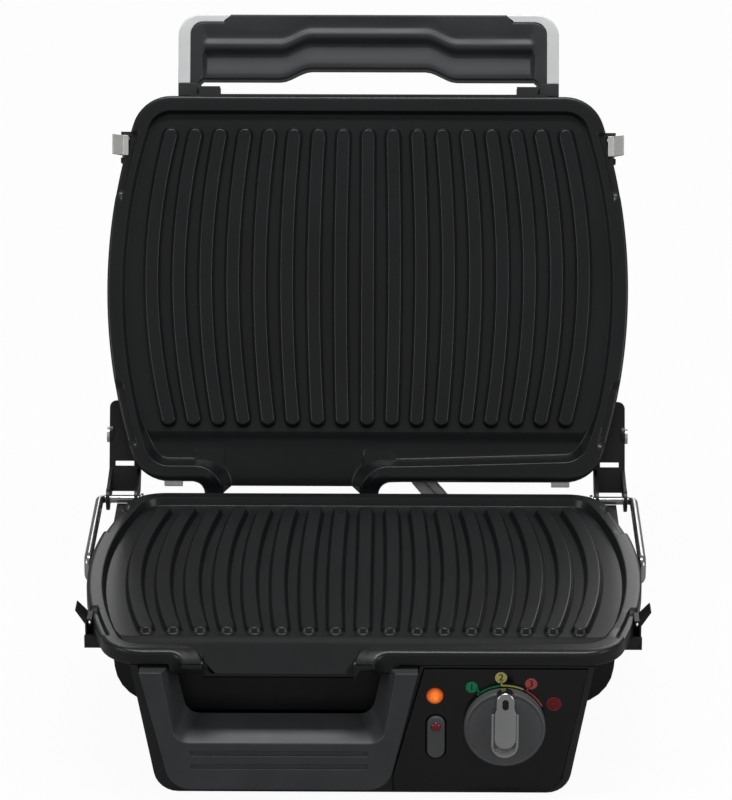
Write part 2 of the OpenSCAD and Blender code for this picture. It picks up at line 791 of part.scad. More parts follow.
// Sprung clip for the right-hand side, its pin at the origin: a strap that hooks over the plate's edge,
// with a finger tab that slopes outwards and away from the plate
module clip() {
  rise = -clip_pin_z;
  tab = 7;
  lip = clip_off + 0.9;
  difference() {
    union() {
      translate([0, clip_w/2, 0]) rotate([90, 0, 0]) linear_extrude(clip_w) polygon([
        [1.4, 0], [1.4, rise - 4], [tab, rise + 4.6], [tab - 0.6, rise + 5.6], [0.4, rise - 0.7],
        [-lip, rise - 0.7], [-lip, rise - 1.9], [0.2, rise - 2], [0.2, 0]
      ]);
      translate([0, clip_w/2, 0]) rotate([90, 0, 0]) cylinder(r = 2.1, h = clip_w);
    }
    translate([0, clip_w/2 + 1, 0]) rotate([90, 0, 0]) cylinder(r = clip_pin_r + fit, h = clip_w + 2);
  }
}

module clip_lower(s) {
  framed() color("#4a4c4e") translate([0, clip_low_y, clip_low_z]) mirror([s < 0 ? 1 : 0, 0, 0])
    translate([clip_low_x, 0, 0]) clip();
}

module clip_upper(s) {
  framed() color("silver") on_lid() translate([0, clip_high_y, clip_pin_z]) mirror([s < 0 ? 1 : 0, 0, 0])
    translate([clip_high_x, 0, 0]) clip();
}

module clip_lower_left() {
  clip_lower(-1);
}

module clip_lower_right() {
  clip_lower(1);
}

module clip_upper_left() {
  clip_upper(-1);
}

module clip_upper_right() {
  clip_upper(1);
}

module clip_pin() {
  rotate([90, 0, 0]) cylinder(r = clip_pin_r, h = clip_w + 6.4, center = true);
}

module clip_pins_lower() {
  framed() color("silver") for (s = [-1, 1]) translate([s*clip_low_x, clip_low_y, clip_low_z]) clip_pin();
}

module clip_pins_upper() {
  framed() color("silver") on_lid() for (s = [-1, 1])
    translate([s*clip_high_x, clip_high_y, clip_pin_z]) clip_pin();
}

// ---------- hinge ----------

// Wire link for the right-hand side
module link() {
  r = link_d/2;
  x = link_x;
  py = arm_pivot[0];
  pz = arm_pivot[1];
  fy = link_pivot[0];
  fz = link_pivot[1];
  rod_x(arm_x - 2, x - link_bend, arm_pivot, r);
  rod_x(arm_x - 3.4, arm_x - 1.8, arm_pivot, r + 1);
  translate([x - link_bend, py - link_bend, pz])
    rotate_extrude(angle = 90) translate([link_bend, 0]) circle(r = r);
  translate([x, py - link_bend, pz]) rotate([90, 0, 0]) cylinder(r = r, h = py - fy - 2*link_bend);
  translate([x, fy + link_bend, pz - link_bend]) rotate([90, 0, 90]) rotate([0, 0, 90])
    rotate_extrude(angle = 90) translate([link_bend, 0]) circle(r = r);
  translate([x, fy, fz + link_bend]) cylinder(r = r, h = pz - fz - 2*link_bend);
  translate([x - link_bend, fy, fz + link_bend]) rotate([90, 0, 0]) rotate([0, 0, -90])
    rotate_extrude(angle = 90) translate([link_bend, 0]) circle(r = r);
  rod_x(136, x - link_bend, link_pivot, r);
}

module link_right() {
  framed() color("silver") link();
}

module link_left() {
  framed() color("silver") mirror([1, 0, 0]) link();
}

// Side flange of an arm, standing at x
module arm_flange(x) {
  p = lid_point(arm_pivot_lid);
  q = lid_point(lid_pivot);
  back = lid_pivot[1] - 9;
  translate([x, 0, 0]) rotate([90, 0, 90]) linear_extrude(arm_t) {
    translate(p) circle(r = ear_r);
    translate(q) circle(r = 9);
    polygon([for (k = [
      [arm_pivot_lid[0] - ear_r, arm_pivot_lid[1]], [arm_low, web_out - arm_t],
      [arm_low + ear_base, web_out - arm_t], [arm_pivot_lid[0] + ear_r, arm_pivot_lid[1]]
    ]) lid_point(k)]);
    polygon([for (k = [
      [arm_low, web_out], [arm_low, web_out - arm_t - 2],
      [lid_pivot[0] - 8, back + 1], [lid_pivot[0] + 8, back + 1],
      [arm_high, web_out - 8], [arm_high, web_out]
    ]) lid_point(k)]);
  }
}

// Arm for the right-hand side: a channel with ears that reach forward to its pivot
module arm() {
  on_lid() difference() {
    union() {
      arm_flange(arm_x);
      arm_flange(arm_end - arm_t);
      translate([arm_x, arm_low - plate_l/2, web_out - arm_t]) cube([arm_w, arm_high - arm_low, arm_t]);
    }
    translate([arm_x + 4, 10 - plate_l/2, web_out - 6]) cube([11.7, 3, 12]);
    rod_x(arm_x - 1, arm_end + 1, lid_point(arm_pivot_lid), link_d/2 + fit);
    rod_x(arm_x - 1, arm_end + 1, lid_point(lid_pivot), lid_pin_r + fit);
  }
}

module arm_right() {
  framed() color("#1c1d1f") arm();
}

module arm_left() {
  framed() color("#1c1d1f") mirror([1, 0, 0]) arm();
}

module arm_pins() {
  framed() color("silver") on_lid() for (s = [0, 1]) mirror([s, 0, 0]) {
    rod_x(boss_x - 9, arm_end + 1, lid_point(lid_pivot), lid_pin_r);
    rod_x(arm_end + 0.3, arm_end + 2, lid_point(lid_pivot), lid_pin_r + 2);
  }
}

// ---------- lid ----------

// Outer form of the shell, made smaller by d
module shell_form(d) {
  skin([
    barrel_ring(20 + d, -lid_h + d), barrel_ring(12 + d, -lid_h + 2 + d), barrel_ring(7 + d, -lid_h + 8 + d),
    barrel_ring(3.6 + d, -24), barrel_ring(1.5 + d, shell_rim + (d > 0 ? eps : 0))
  ]);
}

// Room for the arms at the lid's rear corners, grown by d
module arm_room(d) {
  for (s = [0, 1]) mirror([s, 0, 0])
    translate([boss_x - d, -plate_l/2 - 20, -lid_h - 10]) cube([60, arm_high + 27 + d, lid_h + 12]);
}

module lid_shell() {
  leg_h = 22;
  framed() color("#1a1b1d") on_lid() difference() {
    union() {
      difference() {
        shell_form(0);
        difference() {
          shell_form(wall);
          arm_room(wall);
          // screw bosses and pin bosses stand inside
          for (s = [0, 1]) mirror([s, 0, 0]) rod_x(boss_x - 12, boss_x, lid_point(lid_pivot), 8);
        }
        arm_room(0);
      }
      // lip and lugs at the front edge
      translate([8 - handle_w/2, plate_l/2 - 1.4, shell_rim - 12]) cube([handle_w - 16, 3.3, 11.8]);
      translate([8 - handle_w/2, plate_l/2 + 0.4, shell_rim - 12]) cube([handle_w - 16, 1.5, 16]);
      for (s = [-1, 1]) translate([s*(handle_w/2 - 20) - 6.5, plate_l/2 + 0.5, shell_rim - 12])
        cube([13, 6.6, 14]);
      for (s = [-1, 1]) translate([s*(handle_w/2 - leg_w/2) - leg_w/2, plate_l/2 - 12, handle_back + 2])
        cube([leg_w, 12 + 5, leg_h]);
      for (s = [-1, 1], e = [-1, 1])
        translate([
          s*clip_high_x - (s > 0 ? clip_ear_in : 2.6), clip_high_y + e*(clip_w/2 + 1.9) - 1.5, shell_rim - 9
        ]) cube([clip_ear_in + 2.6, 3, 8.6]);
    }
    for (s = [0, 1]) mirror([s, 0, 0]) rod_x(boss_x - 11, boss_x + 2, lid_point(lid_pivot), lid_pin_r + fit);
    for (s = [-1, 1]) translate([s*clip_high_x, clip_high_y + 11, clip_pin_z]) rotate([90, 0, 0])
      cylinder(r = clip_pin_r + fit, h = 22);
    hull() for (k = [-1, 1]) translate([lead_lid_x + k*(lead_half_gap + 2.4), -plate_l/2 - 6, lead_lid_out])
      rotate([-90, 0, 0]) cylinder(r = lead_r + lead_room, h = 26, $fn = 32);
    chute_room();
  }
}

module lid_inlay() {
  framed() color("silver") on_lid() skin([barrel_ring(33, -lid_h - 0.9), barrel_ring(32.2, -lid_h - 0.1)]);
}

module lid_screws() {
  framed() color("silver") on_lid() for (s = [-1, 1])
    translate([s*(handle_w/2 - leg_w/2), plate_l/2 + 0.6, handle_back + 0.3]) cylinder(r = 2.8, h = 1.6);
}

// ---------- handle ----------

// Height of the grip's lower edge above its ends: it rises in an S towards the middle
function rise_at(x) =
  let (t = min(1, max(0, (rise_from - abs(x))/(rise_from - rise_to)))) grip_rise*t*t*(3 - 2*t);

// Section of the grip's front half at x
function grip_ring(x) =
  let (
    low = grip_low + rise_at(x),
    crease = low + crease_up,
    top = handle_u - trim_top*(abs(x) > trim_end ? 1 : 0)
  )
  [for (p = [
    [low + 1.5, seam_out], [top, seam_out], [top, handle_front - 3],
    [top - 2.5, handle_front], [crease + 4, handle_front],
    [crease, handle_front - 1], [low + 2, handle_front - 9], [low, handle_front - 12]
  ]) [x, p[0], p[1]]];

// Section of the grip's rear cover at x
function cover_ring(x) =
  let (low = grip_low + rise_at(x), top = handle_u - trim_top*(abs(x) > trim_end ? 1 : 0))
  [for (p = [
    [low + 5, handle_back], [top - 5, handle_back], [top - 0.5, handle_back + 4], [top, seam_out - 0.1],
    [low + 1.5, seam_out - 0.1], [low + 1, handle_back + 4]
  ]) [x, p[0], p[1]]];

// Outline of the handle's outer corners, moved inwards at the sides and the top
module handle_outline(side_in, top_in, r) {
  half = handle_w/2 - side_in;
  top = handle_u - top_in;
  translate([-half, plate_l/2 - 2]) square([2*half, top - r - plate_l/2 + 2]);
  translate([r - half, top - r - 1]) square([2*half - 2*r, r + 1]);
  for (s = [-1, 1]) translate([s*(half - r), top - r]) circle(r = r);
}

module legs(z0, z1) {
  for (s = [-1, 1]) translate([0, 0, z0]) linear_extrude(z1 - z0) intersection() {
    handle_outline(trim_side, trim_top, trim_r - 6);
    translate([s > 0 ? grip_half - 1 : -handle_w/2, plate_l/2 + 5.2]) square([leg_w, 200]);
  }
  for (s = [-1, 1]) translate([s*(handle_w/2 - leg_w/2) - leg_w/2, plate_l/2 + 5.2, z0])
    cube([leg_w, trim_low - plate_l/2 - 5.4, z1 - z0]);
}

// Space inside the trims and between them, that the grip keeps to
module between_trims() {
  translate([0, 0, handle_back - 1]) linear_extrude(handle_d + 2) {
    handle_outline(trim_side, trim_top, trim_r - 6);
    translate([-trim_end, plate_l/2]) square([2*trim_end, handle_reach]);
  }
}

module handle() {
  framed() color("#2e3032") on_lid() {
    intersection() {
      skin([for (x = grip_x) grip_ring(x)]);
      between_trims();
    }
    legs(seam_out, handle_front - 0.4);
  }
}

module handle_cover() {
  framed() color("#26282a") on_lid() {
    intersection() {
      skin([for (x = grip_x) cover_ring(x)]);
      between_trims();
    }
    legs(handle_back + 3, seam_out - 0.1);
  }
}

module handle_trim(s) {
  framed() color("silver") on_lid() translate([0, 0, handle_back + 5])
    linear_extrude(handle_d - 5) intersection() {
    difference() {
      handle_outline(0, 0, trim_r);
      handle_outline(trim_side - 0.1, trim_top - 0.1, trim_r - 6);
    }
    translate([s > 0 ? trim_end + 0.2 : -200 - trim_end - 0.2, trim_low]) square([200, 200]);
  }
}

module handle_trim_left() {
  handle_trim(-1);
}

module handle_trim_right() {
  handle_trim(1);
}

// ---------- tray ----------

// Slice of the tray's front opening at y: half width, lower edge, and rounding
module opening_slice(y, half_low, half_high, low) {
  translate([tray_x, 0, 0]) along_y(y, y + eps) polygon(trough(half_low, half_high, low, rim_h, 9));
}

module drip_tray() {
  lip_back = tray_lip_back;
  t = 2;
  framed() color("#3c3e40") difference() {
    union() {
      translate([tray_x, 0, 0]) along_y(tray_front_y, lip_back) polygon(
        trough(tray_bottom_w/2, tray_top_w/2, tray_low, pan_z - 0.6, 14));
      translate([tray_x, 0, 0]) along_y(lip_back - 1, tray_back) polygon(
        trough(tray_bottom_w/2 - 1, tray_bottom_w/2 + 5, tray_low + 0.4, tray_low + tray_bowl_h, 14));
    }
    hull() {
      opening_slice(tray_front_y - 1, 59, 68, 37.2);
      opening_slice(lip_back + 1, 52, 61, 49.6);
    }
    translate([tray_x, 0, 0]) along_y(lip_back + 1 - eps, tray_back - t) polygon(
      trough(
        tray_bottom_w/2 - 1 - t, tray_bottom_w/2 + 5 - t,
        tray_low + 0.4 + t, tray_low + tray_bowl_h + 20, 12
      )
    );
    for (z = [31.5, 23.4]) translate([tray_x - 50, tray_front_y - 1, z - 1.4]) cube([100, 2.2, 2.8]);
  }
}

// ---------- lead ----------

// Ring of points round route point k of strand s
function lead_ring(k, s) =
  let (
    n = len(lead_route),
    a = lead_route[max(0, k - 1)],
    b = lead_route[min(n - 1, k + 1)],
    d = (b - a)/norm(b - a),
    side = cross(d, [0, 0, 1])/norm(cross(d, [0, 0, 1])),
    up = cross(side, d)
  )
  [for (i = [0:9]) lead_route[k] + side*(s*lead_half_gap + lead_r*cos(36*i)) + up*lead_r*sin(36*i)];

module element_lead() {
  framed() color("#a8a8a6") for (s = [-1, 1]) skin([for (k = [len(lead_route) - 1:-1:0]) lead_ring(k, s)]);
}

base_housing();
bottom_cover();
control_fascia();
heat_shield_lower();
element_lower();
plate_lower();
plate_hooks_lower();
thermostat();
switch_body();
lamp_lens();
terminal_block();
cord_gland();
feet_front();
feet_rear();
base_screws();
drip_tray();
dial();
dial_pointer();
dial_shaft();
rocker();
rocker_lens();
link_left();
link_right();
arm_left();
arm_right();
arm_pins();
lid_shell();
lid_inlay();
heat_shield_upper();
element_upper();
plate_upper();
plate_hooks_upper();
lid_screws();
handle();
handle_cover();
handle_trim_left();
handle_trim_right();
clip_lower_left();
clip_lower_right();
clip_upper_left();
clip_upper_right();
clip_pins_lower();
clip_pins_upper();
element_lead();
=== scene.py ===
import json
import math

import bmesh
import bpy
from mathutils import Matrix, Vector


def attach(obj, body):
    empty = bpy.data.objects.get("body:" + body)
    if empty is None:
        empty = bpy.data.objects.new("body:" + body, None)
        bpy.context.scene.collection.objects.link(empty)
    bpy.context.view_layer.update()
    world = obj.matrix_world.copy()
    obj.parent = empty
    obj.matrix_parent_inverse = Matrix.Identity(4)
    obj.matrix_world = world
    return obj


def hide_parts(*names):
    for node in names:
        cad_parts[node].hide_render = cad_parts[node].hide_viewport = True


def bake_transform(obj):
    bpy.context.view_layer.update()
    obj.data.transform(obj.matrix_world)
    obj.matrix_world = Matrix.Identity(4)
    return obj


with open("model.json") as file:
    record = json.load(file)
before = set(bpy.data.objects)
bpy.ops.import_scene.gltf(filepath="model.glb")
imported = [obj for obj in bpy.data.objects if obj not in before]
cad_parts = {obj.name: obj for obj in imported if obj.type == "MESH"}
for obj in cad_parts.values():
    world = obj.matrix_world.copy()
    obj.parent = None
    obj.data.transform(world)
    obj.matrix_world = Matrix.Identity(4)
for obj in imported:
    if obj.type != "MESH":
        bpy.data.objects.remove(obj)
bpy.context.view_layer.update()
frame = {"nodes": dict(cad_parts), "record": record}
NODES = frame["nodes"]


# ---------- camera, floor and light ----------

FOCAL_PX = 4000
LONG_SIDE_PX = 800
SENSOR = 36
VIEW_TARGET = Vector((0.00096, -0.0806, 0.19773))
VIEW_DISTANCE = 2.3226
VIEW_ELEVATION = math.radians(20.29)
VIEW_YAW = math.radians(0.57)
CLIP_NEAR, CLIP_FAR = 0.05, 50
FLOOR_HALF, FLOOR_GLOW = 8, 0.955
# reflectance of the floor as other surfaces see it, and as the camera sees it
FLOOR_BOUNCED, FLOOR_SEEN = (0.3, 0.3, 0.3), (0.85, 0.85, 0.85)
STUDIO_LIGHT = 0.19
# name, place, what it faces, size, watts
LAMPS = [
    ("strip", (0.0, -0.35, 2.2), (0, -0.05, 0.15), (1.5, 0.25), 27),
    ("front", (0.0, -2.7, 0.7), (0, 0, 0.15), (3.0, 0.8), 2),
    ("behind", (0.4, 2.7, 1.5), (0, 0, 0.15), (2.0, 1.0), 16),
    ("left", (-2.3, -1.5, 0.8), (0, 0, 0.15), (1.2, 1.2), 12),
    ("right", (2.3, -1.5, 0.8), (0, 0, 0.15), (1.2, 1.2), 12),
]


def add_camera():
    """The camera, at a set distance from the middle of the view."""
    back = Vector((
        math.sin(VIEW_YAW) * math.cos(VIEW_ELEVATION),
        -math.cos(VIEW_YAW) * math.cos(VIEW_ELEVATION),
        math.sin(VIEW_ELEVATION),
    ))
    data = bpy.data.cameras.new("camera")
    data.sensor_width = SENSOR
    data.lens = FOCAL_PX / LONG_SIDE_PX * SENSOR
    data.clip_start, data.clip_end = CLIP_NEAR, CLIP_FAR
    camera = bpy.data.objects.new("camera", data)
    camera.location = VIEW_TARGET + back * VIEW_DISTANCE
    camera.rotation_mode = "QUATERNION"
    camera.rotation_quaternion = (-back).to_track_quat("-Z", "Y")
    bpy.context.scene.collection.objects.link(camera)
    bpy.context.scene.camera = camera


def add_lamp(name, place, aim, size, power):
    """A soft rectangular lamp that faces aim."""
    data = bpy.data.lights.new(name, "AREA")
    data.shape = "RECTANGLE"
    data.size, data.size_y = size
    data.energy = power
    lamp = bpy.data.objects.new(name, data)
    lamp.location = place
    lamp.rotation_mode = "QUATERNION"
    lamp.rotation_quaternion = (Vector(aim) - Vector(place)).to_track_quat("-Z", "Y")
    bpy.context.scene.collection.objects.link(lamp)


# ---------- shader maths ----------


def math_node(operation):
    """A method that joins two values, or a value and a number, by a Math node."""

    def apply(a, b):
        tree = (a if isinstance(a, Value) else b).tree
        node = tree.nodes.new("ShaderNodeMath")
        node.operation = operation
        feed(tree, node.inputs[0], a)
        feed(tree, node.inputs[1], b)
        return Value(tree, node.outputs[0])

    return apply


def feed(tree, socket, value):
    """Links a value to a socket, or sets the socket to a number, vector or colour."""
    if isinstance(value, Value):
        tree.links.new(value.socket, socket)
    elif isinstance(value, (tuple, list)) and len(value) == 3 and socket.type == "RGBA":
        socket.default_value = (*value, 1)
    else:
        socket.default_value = value


class Value:
    """A node's output; sums and products of such values add Math nodes."""

    def __init__(self, tree, socket):
        self.tree = tree
        self.socket = socket

    __add__ = __radd__ = math_node("ADD")
    __mul__ = __rmul__ = math_node("MULTIPLY")


def screen_colour(*parts):
    """A colour given as it looks on screen, 0 to 255, as linear light."""
    return tuple(p / 255 / 12.92 if p <= 10 else ((p / 255 + 0.055) / 1.055) ** 2.4 for p in parts)


def scaled(colour, by):
    return tuple(part * by for part in colour)


class Finish:
    """A procedural material on a Principled shader."""

    def __init__(self, name, **constants):
        self.name = name
        self.material = bpy.data.materials.new(name)
        self.material.use_nodes = True
        self.tree = self.material.node_tree
        self.shader = self.tree.nodes["Principled BSDF"]
        self.place = self.add("ShaderNodeTexCoord", out="Object")
        for socket, value in constants.items():
            self.set(socket.replace("_", " "), value)

    def set(self, socket, value):
        feed(self.tree, self.shader.inputs[socket], value)

    def add(self, kind, settings=None, out=0, **inputs):
        """Adds a node: its settings first, then its sockets; out is the output that is passed on."""
        node = self.tree.nodes.new(kind)
        for key, value in (settings or {}).items():
            setattr(node, key, value)
        for key, value in inputs.items():
            feed(self.tree, node.inputs[key.replace("_", " ")], value)
        return Value(self.tree, node.outputs[out])

    def noise(self, scale, detail=2.0, rough=0.5, at=None):
        return self.add(
            "ShaderNodeTexNoise", Vector=at or self.place, Scale=scale, Detail=detail, Roughness=rough
        )

    def stretched(self, x, y, z):
        return self.add("ShaderNodeMapping", Vector=self.place, Scale=(x, y, z))

    def fade(self, value, low, high, to_low=0.0, to_high=1.0):
        return self.add(
            "ShaderNodeMapRange", Value=value, From_Min=low, From_Max=high, To_Min=to_low, To_Max=to_high
        )

    def mixed(self, factor, first, second):
        """A colour between two; the Mix node names its colour sockets alike, so they go by number."""
        node = self.tree.nodes.new("ShaderNodeMix")
        node.data_type = "RGBA"
        for socket, value in ((0, factor), (6, first), (7, second)):
            feed(self.tree, node.inputs[socket], value)
        return Value(self.tree, node.outputs[2])

    def bump(self, height, strength, distance):
        relief = self.add(
            "ShaderNodeBump", out="Normal", Height=height, Strength=strength, Distance=distance
        )
        self.set("Normal", relief)
        return self


def moulded(name, colour, rough, grain=2600, depth=0.00005, strength=0.35):
    """Injection-moulded plastic: an even colour with a fine spark-eroded grain."""
    f = Finish(name, IOR=1.5)
    cloud = f.noise(38, 3)
    fine = f.noise(grain, 2, 0.6)
    f.set("Base Color", f.mixed(f.fade(cloud, 0.3, 0.7), scaled(colour, 0.88), scaled(colour, 1.12)))
    f.set("Roughness", f.fade(cloud, 0.3, 0.7, rough - 0.04, rough + 0.04))
    return f.bump(fine, strength, depth)


def coated(name, dark, light):
    """Non-stick coating on cast aluminium: slightly bluish, satin, with a fine orange peel."""
    f = Finish(name, IOR=1.5, Coat_Weight=0.26, Coat_Roughness=0.17, Specular_IOR_Level=0.36)
    cloud = f.noise(22, 3)
    speck = f.noise(1900, 2, 0.7)
    peel = f.noise(620, 3, 0.6)
    f.set("Base Color", f.mixed(f.fade(cloud, 0.3, 0.7), dark, light))
    f.set("Roughness", f.fade(speck, 0.3, 0.7, 0.36, 0.48))
    return f.bump(peel + speck * 0.5, 0.25, 0.0001)


def polished(name, colour, rough):
    """Polished plastic with faint waves and a few soft marks."""
    f = Finish(name, IOR=1.5)
    wave = f.noise(9, 1)
    marks = f.noise(160, 4, 0.7)
    f.set("Base Color", f.mixed(f.fade(wave, 0.3, 0.7), colour, scaled(colour, 1.25)))
    f.set("Roughness", f.fade(marks, 0.45, 0.75, rough, rough + 0.06))
    return f.bump(wave, 0.15, 0.0004)


def metal(name, colour, rough, metallic=1.0, lines=(1, 1, 60), scale=90):
    """Metal or metal-look lacquer with fine drawn lines."""
    f = Finish(name, Metallic=metallic)
    streak = f.noise(scale, 4, 0.6, at=f.stretched(*lines))
    cloud = f.noise(30, 2)
    f.set("Base Color", f.mixed(f.fade(cloud, 0.3, 0.7), scaled(colour, 0.86), colour))
    f.set("Roughness", f.fade(streak, 0.3, 0.7, rough - 0.05, rough + 0.07))
    return f.bump(streak, 0.12, 0.00006)


def woven(name, dark, light):
    """Glass-fibre sleeve: pale strands that cross over each other."""
    f = Finish(name, IOR=1.45)
    one, other = (
        f.add("ShaderNodeTexWave", {"bands_direction": "DIAGONAL"}, Vector=at, Scale=260.0, Distortion=0.6)
        for at in (f.place, f.stretched(-1, 1, 1))
    )
    weave = one * other
    f.set("Base Color", f.mixed(weave, dark, light))
    f.set("Roughness", f.fade(weave, 0.0, 1.0, 0.6, 0.45))
    return f.bump(weave, 0.6, 0.0004)


def ink(name, colour):
    """Screen-printed ink: thin, slightly uneven and satin."""
    f = Finish(name, IOR=1.45)
    cover = f.noise(1500, 3, 0.6)
    f.set("Base Color", f.mixed(f.fade(cover, 0.35, 0.6), scaled(colour, 0.8), colour))
    f.set("Roughness", f.fade(cover, 0.35, 0.6, 0.5, 0.42))
    return f


def clear_lens(name, colour, glow, rough):
    """A tinted lens with a faint light of its own."""
    f = Finish(name, IOR=1.5, Coat_Weight=0.6, Coat_Roughness=0.05, Emission_Strength=glow)
    deep = f.fade(f.noise(420, 2), 0.3, 0.7)
    tint = f.mixed(deep, scaled(colour, 0.7), colour)
    f.set("Base Color", tint)
    f.set("Emission Color", tint)
    f.set("Roughness", rough + deep * 0.08)
    return f


def lit_lens(name, colour, hot, centre, radius):
    """A lens lit from behind: brightest in the middle, its facets catching the light."""
    f = Finish(name, IOR=1.5, Coat_Weight=0.4, Coat_Roughness=0.08, Emission_Strength=1.0)
    from_middle = f.add("ShaderNodeMapping", Vector=f.place, Location=scaled(centre, -1))
    away = f.add("ShaderNodeVectorMath", {"operation": "LENGTH"}, out="Value", Vector=from_middle)
    cells = f.add("ShaderNodeTexVoronoi", {"feature": "F1"}, Vector=f.place, Scale=620.0)
    glow = f.fade(away, 0.1 * radius, 1.05 * radius, 1.0, 0.0) * (0.55 + cells * 0.9)
    f.set("Base Color", f.mixed(f.fade(away, 0.5 * radius, radius), colour, scaled(colour, 0.45)))
    f.set("Emission Color", f.mixed(glow, scaled(colour, 0.1), hot))
    f.set("Roughness", f.fade(cells, 0.0, 0.6, 0.1, 0.2))
    return f


# ---------- finishes ----------

# how far the frame's origin lies behind the middle that the sizes below are measured from
ORIGIN_Y = 0.0805947
FRONT_Y = -0.1189
LAMP_X, LAMP_Z, LAMP_R = 0.041, 0.0638, 0.0049

FINISH = {made.name: made for made in (
    coated("plate_coating", screen_colour(13, 15, 17), screen_colour(19, 21, 23)),
    moulded("housing_plastic", screen_colour(33, 34, 36), 0.5),
    polished("gloss_fascia", screen_colour(11, 12, 14), 0.15),
    moulded("cover_plastic", screen_colour(34, 35, 36), 0.55),
    moulded("tray_plastic", screen_colour(61, 63, 66), 0.46),
    # painted shade: near-black for the inside of the tray's bowl and of the housing's room round the tray, which
    # lie in deep shade
    moulded("tray_bowl_painted_shade", screen_colour(9, 9, 10), 0.6),
    moulded("handle_plastic", screen_colour(44, 46, 48), 0.46),
    metal("silver_trim", screen_colour(240, 241, 242), 0.42, 0.25, (1, 1, 12), 60),
    moulded("dial_plastic", screen_colour(86, 87, 89), 0.42),
    metal("dial_grip", screen_colour(205, 206, 207), 0.22, 1.0, (1, 1, 8), 60),
    moulded("black_paint", screen_colour(13, 14, 15), 0.4, 900, 0.00008),
    metal("wire_steel", screen_colour(200, 200, 198), 0.22),
    metal("bright_steel", screen_colour(240, 240, 236), 0.3, 0.55, (6, 6, 6), 40),
    metal("reflector", screen_colour(205, 205, 203), 0.3),
    metal("inlay_metal", screen_colour(180, 181, 182), 0.32, 1.0, (1, 40, 40)),
    metal("heating_tube", screen_colour(110, 104, 98), 0.5),
    lit_lens(
        "lamp_amber", screen_colour(238, 80, 2), (0.95, 0.26, 0.03), (LAMP_X, FRONT_Y - ORIGIN_Y, LAMP_Z), LAMP_R
    ),
    clear_lens("lens_red", screen_colour(125, 0, 20), 0.06, 0.1),
    ink("print_green", screen_colour(20, 150, 100)),
    ink("print_yellow", screen_colour(214, 208, 120)),
    ink("print_red", screen_colour(205, 92, 88)),
    ink("print_dark_red", screen_colour(150, 28, 34)),
    moulded("foot_rubber", screen_colour(96, 98, 100), 0.75, 1500, 0.00008),
    moulded("insulator", screen_colour(190, 176, 150), 0.6),
    moulded("ceramic", screen_colour(220, 214, 204), 0.35),
    woven("braid", screen_colour(186, 186, 184), screen_colour(242, 242, 239)),
)}

SLOTS = {part["node"]: part["material_slot"] for part in frame["record"]["subparts"]}
# the lower clips and their pins take the black paint as painted shade, since they sit in shade; the upper ones are
# left bright
SLOTS.update(dict.fromkeys(("clip_lower_left", "clip_lower_right", "clip_pins_lower"), "black_paint"))


def finish_cad_nodes():
    for node, slot in SLOTS.items():
        NODES[node].data.materials.clear()
        NODES[node].data.materials.append(FINISH[slot].material)


# ---------- floor and background ----------


def seen_rays(tree):
    """One for camera and transmission rays, which see the floor and the world as plain white."""
    path = tree.nodes.new("ShaderNodeLightPath")
    either = tree.nodes.new("ShaderNodeMath")
    either.operation = "MAXIMUM"
    tree.links.new(path.outputs["Is Camera Ray"], either.inputs[0])
    tree.links.new(path.outputs["Is Transmission Ray"], either.inputs[1])
    return Value(tree, either.outputs[0])


def whiten(tree, lit, white, share, output):
    """Shows a share of plain white light in place of the lit surface."""
    mix = tree.nodes.new("ShaderNodeMixShader")
    feed(tree, mix.inputs[0], share)
    tree.links.new(lit.outputs[0], mix.inputs[1])
    tree.links.new(white.outputs[0], mix.inputs[2])
    tree.links.new(mix.outputs[0], tree.nodes[output].inputs["Surface"])


def add_stage():
    """White floor. It is lit for its soft shadow, and kept white by a share of its own light."""
    mesh = bpy.data.meshes.new("floor")
    made = bmesh.new()
    bmesh.ops.create_grid(made, x_segments=1, y_segments=1, size=FLOOR_HALF)
    made.to_mesh(mesh)
    made.free()
    floor = bpy.data.objects.new("floor", mesh)
    bpy.context.scene.collection.objects.link(floor)
    f = Finish("floor_white", Roughness=0.9)
    seen = seen_rays(f.tree)
    f.set("Base Color", f.mixed(seen, FLOOR_BOUNCED, FLOOR_SEEN))
    glow = f.tree.nodes.new("ShaderNodeEmission")
    whiten(f.tree, f.shader, glow, seen * FLOOR_GLOW, "Material Output")
    mesh.materials.append(f.material)


def add_world():
    """Even light from all round, behind a background that shows white."""
    world = bpy.data.worlds.new("studio")
    world.use_nodes = True
    tree = world.node_tree
    light = tree.nodes["Background"]
    white = tree.nodes.new("ShaderNodeBackground")
    for node, strength in ((light, STUDIO_LIGHT), (white, 1.0)):
        node.inputs["Color"].default_value = (1, 1, 1, 1)
        node.inputs["Strength"].default_value = strength
    whiten(tree, light, white, seen_rays(tree), "World Output")
    bpy.context.scene.world = world
    bpy.context.scene.view_settings.view_transform = "Standard"


# ---------- grill plates ----------

# outline: size over all, the bulge of the sides, the corners
PLATE_W, PLATE_L = 0.326, 0.242
SIDE_R, CORNER_R = 0.350, 0.025
# rim: the flange's width, the recess below it and the skirt round it
FLANGE, RECESS, SKIRT = 0.010, 0.0046, 0.009
# ribs: a straight middle one and pairs that bow more towards the sides
RIB_L, RIB_PITCH, RIB_BOW, RIB_PAIRS, RIB_MID_Y = 0.178, 0.0155, 0.09, 8, 0.0072
# spout: its middle, half its width inside and outside, the curves that join it to the rim
CHUTE_MID, CHUTE_HALF, LEG_OUT = -0.047, 0.0425, 0.0543
NECK_R, NECK_LIMIT = 0.0078, 0.0172
# how far the recess's front edge runs back away from the spout, and where that starts and ends
SLANT, SLANT_SHORT, SLANT_FROM, SLANT_TO = 0.0033, 0.03, 0.07, 0.1
INWARD_FROM, INWARD_TO = 0.003, 0.0085
# steps in the flange's edge at the sides: where they start and end, their width and depth
NOTCHES = ((0.058, 0.0975), (-0.0975, -0.0605))
NOTCH_IN, NOTCH_DEEP, NOTCH_BLEND, NOTCH_CLEAR = 0.0048, 0.0026, 0.0012, 0.045
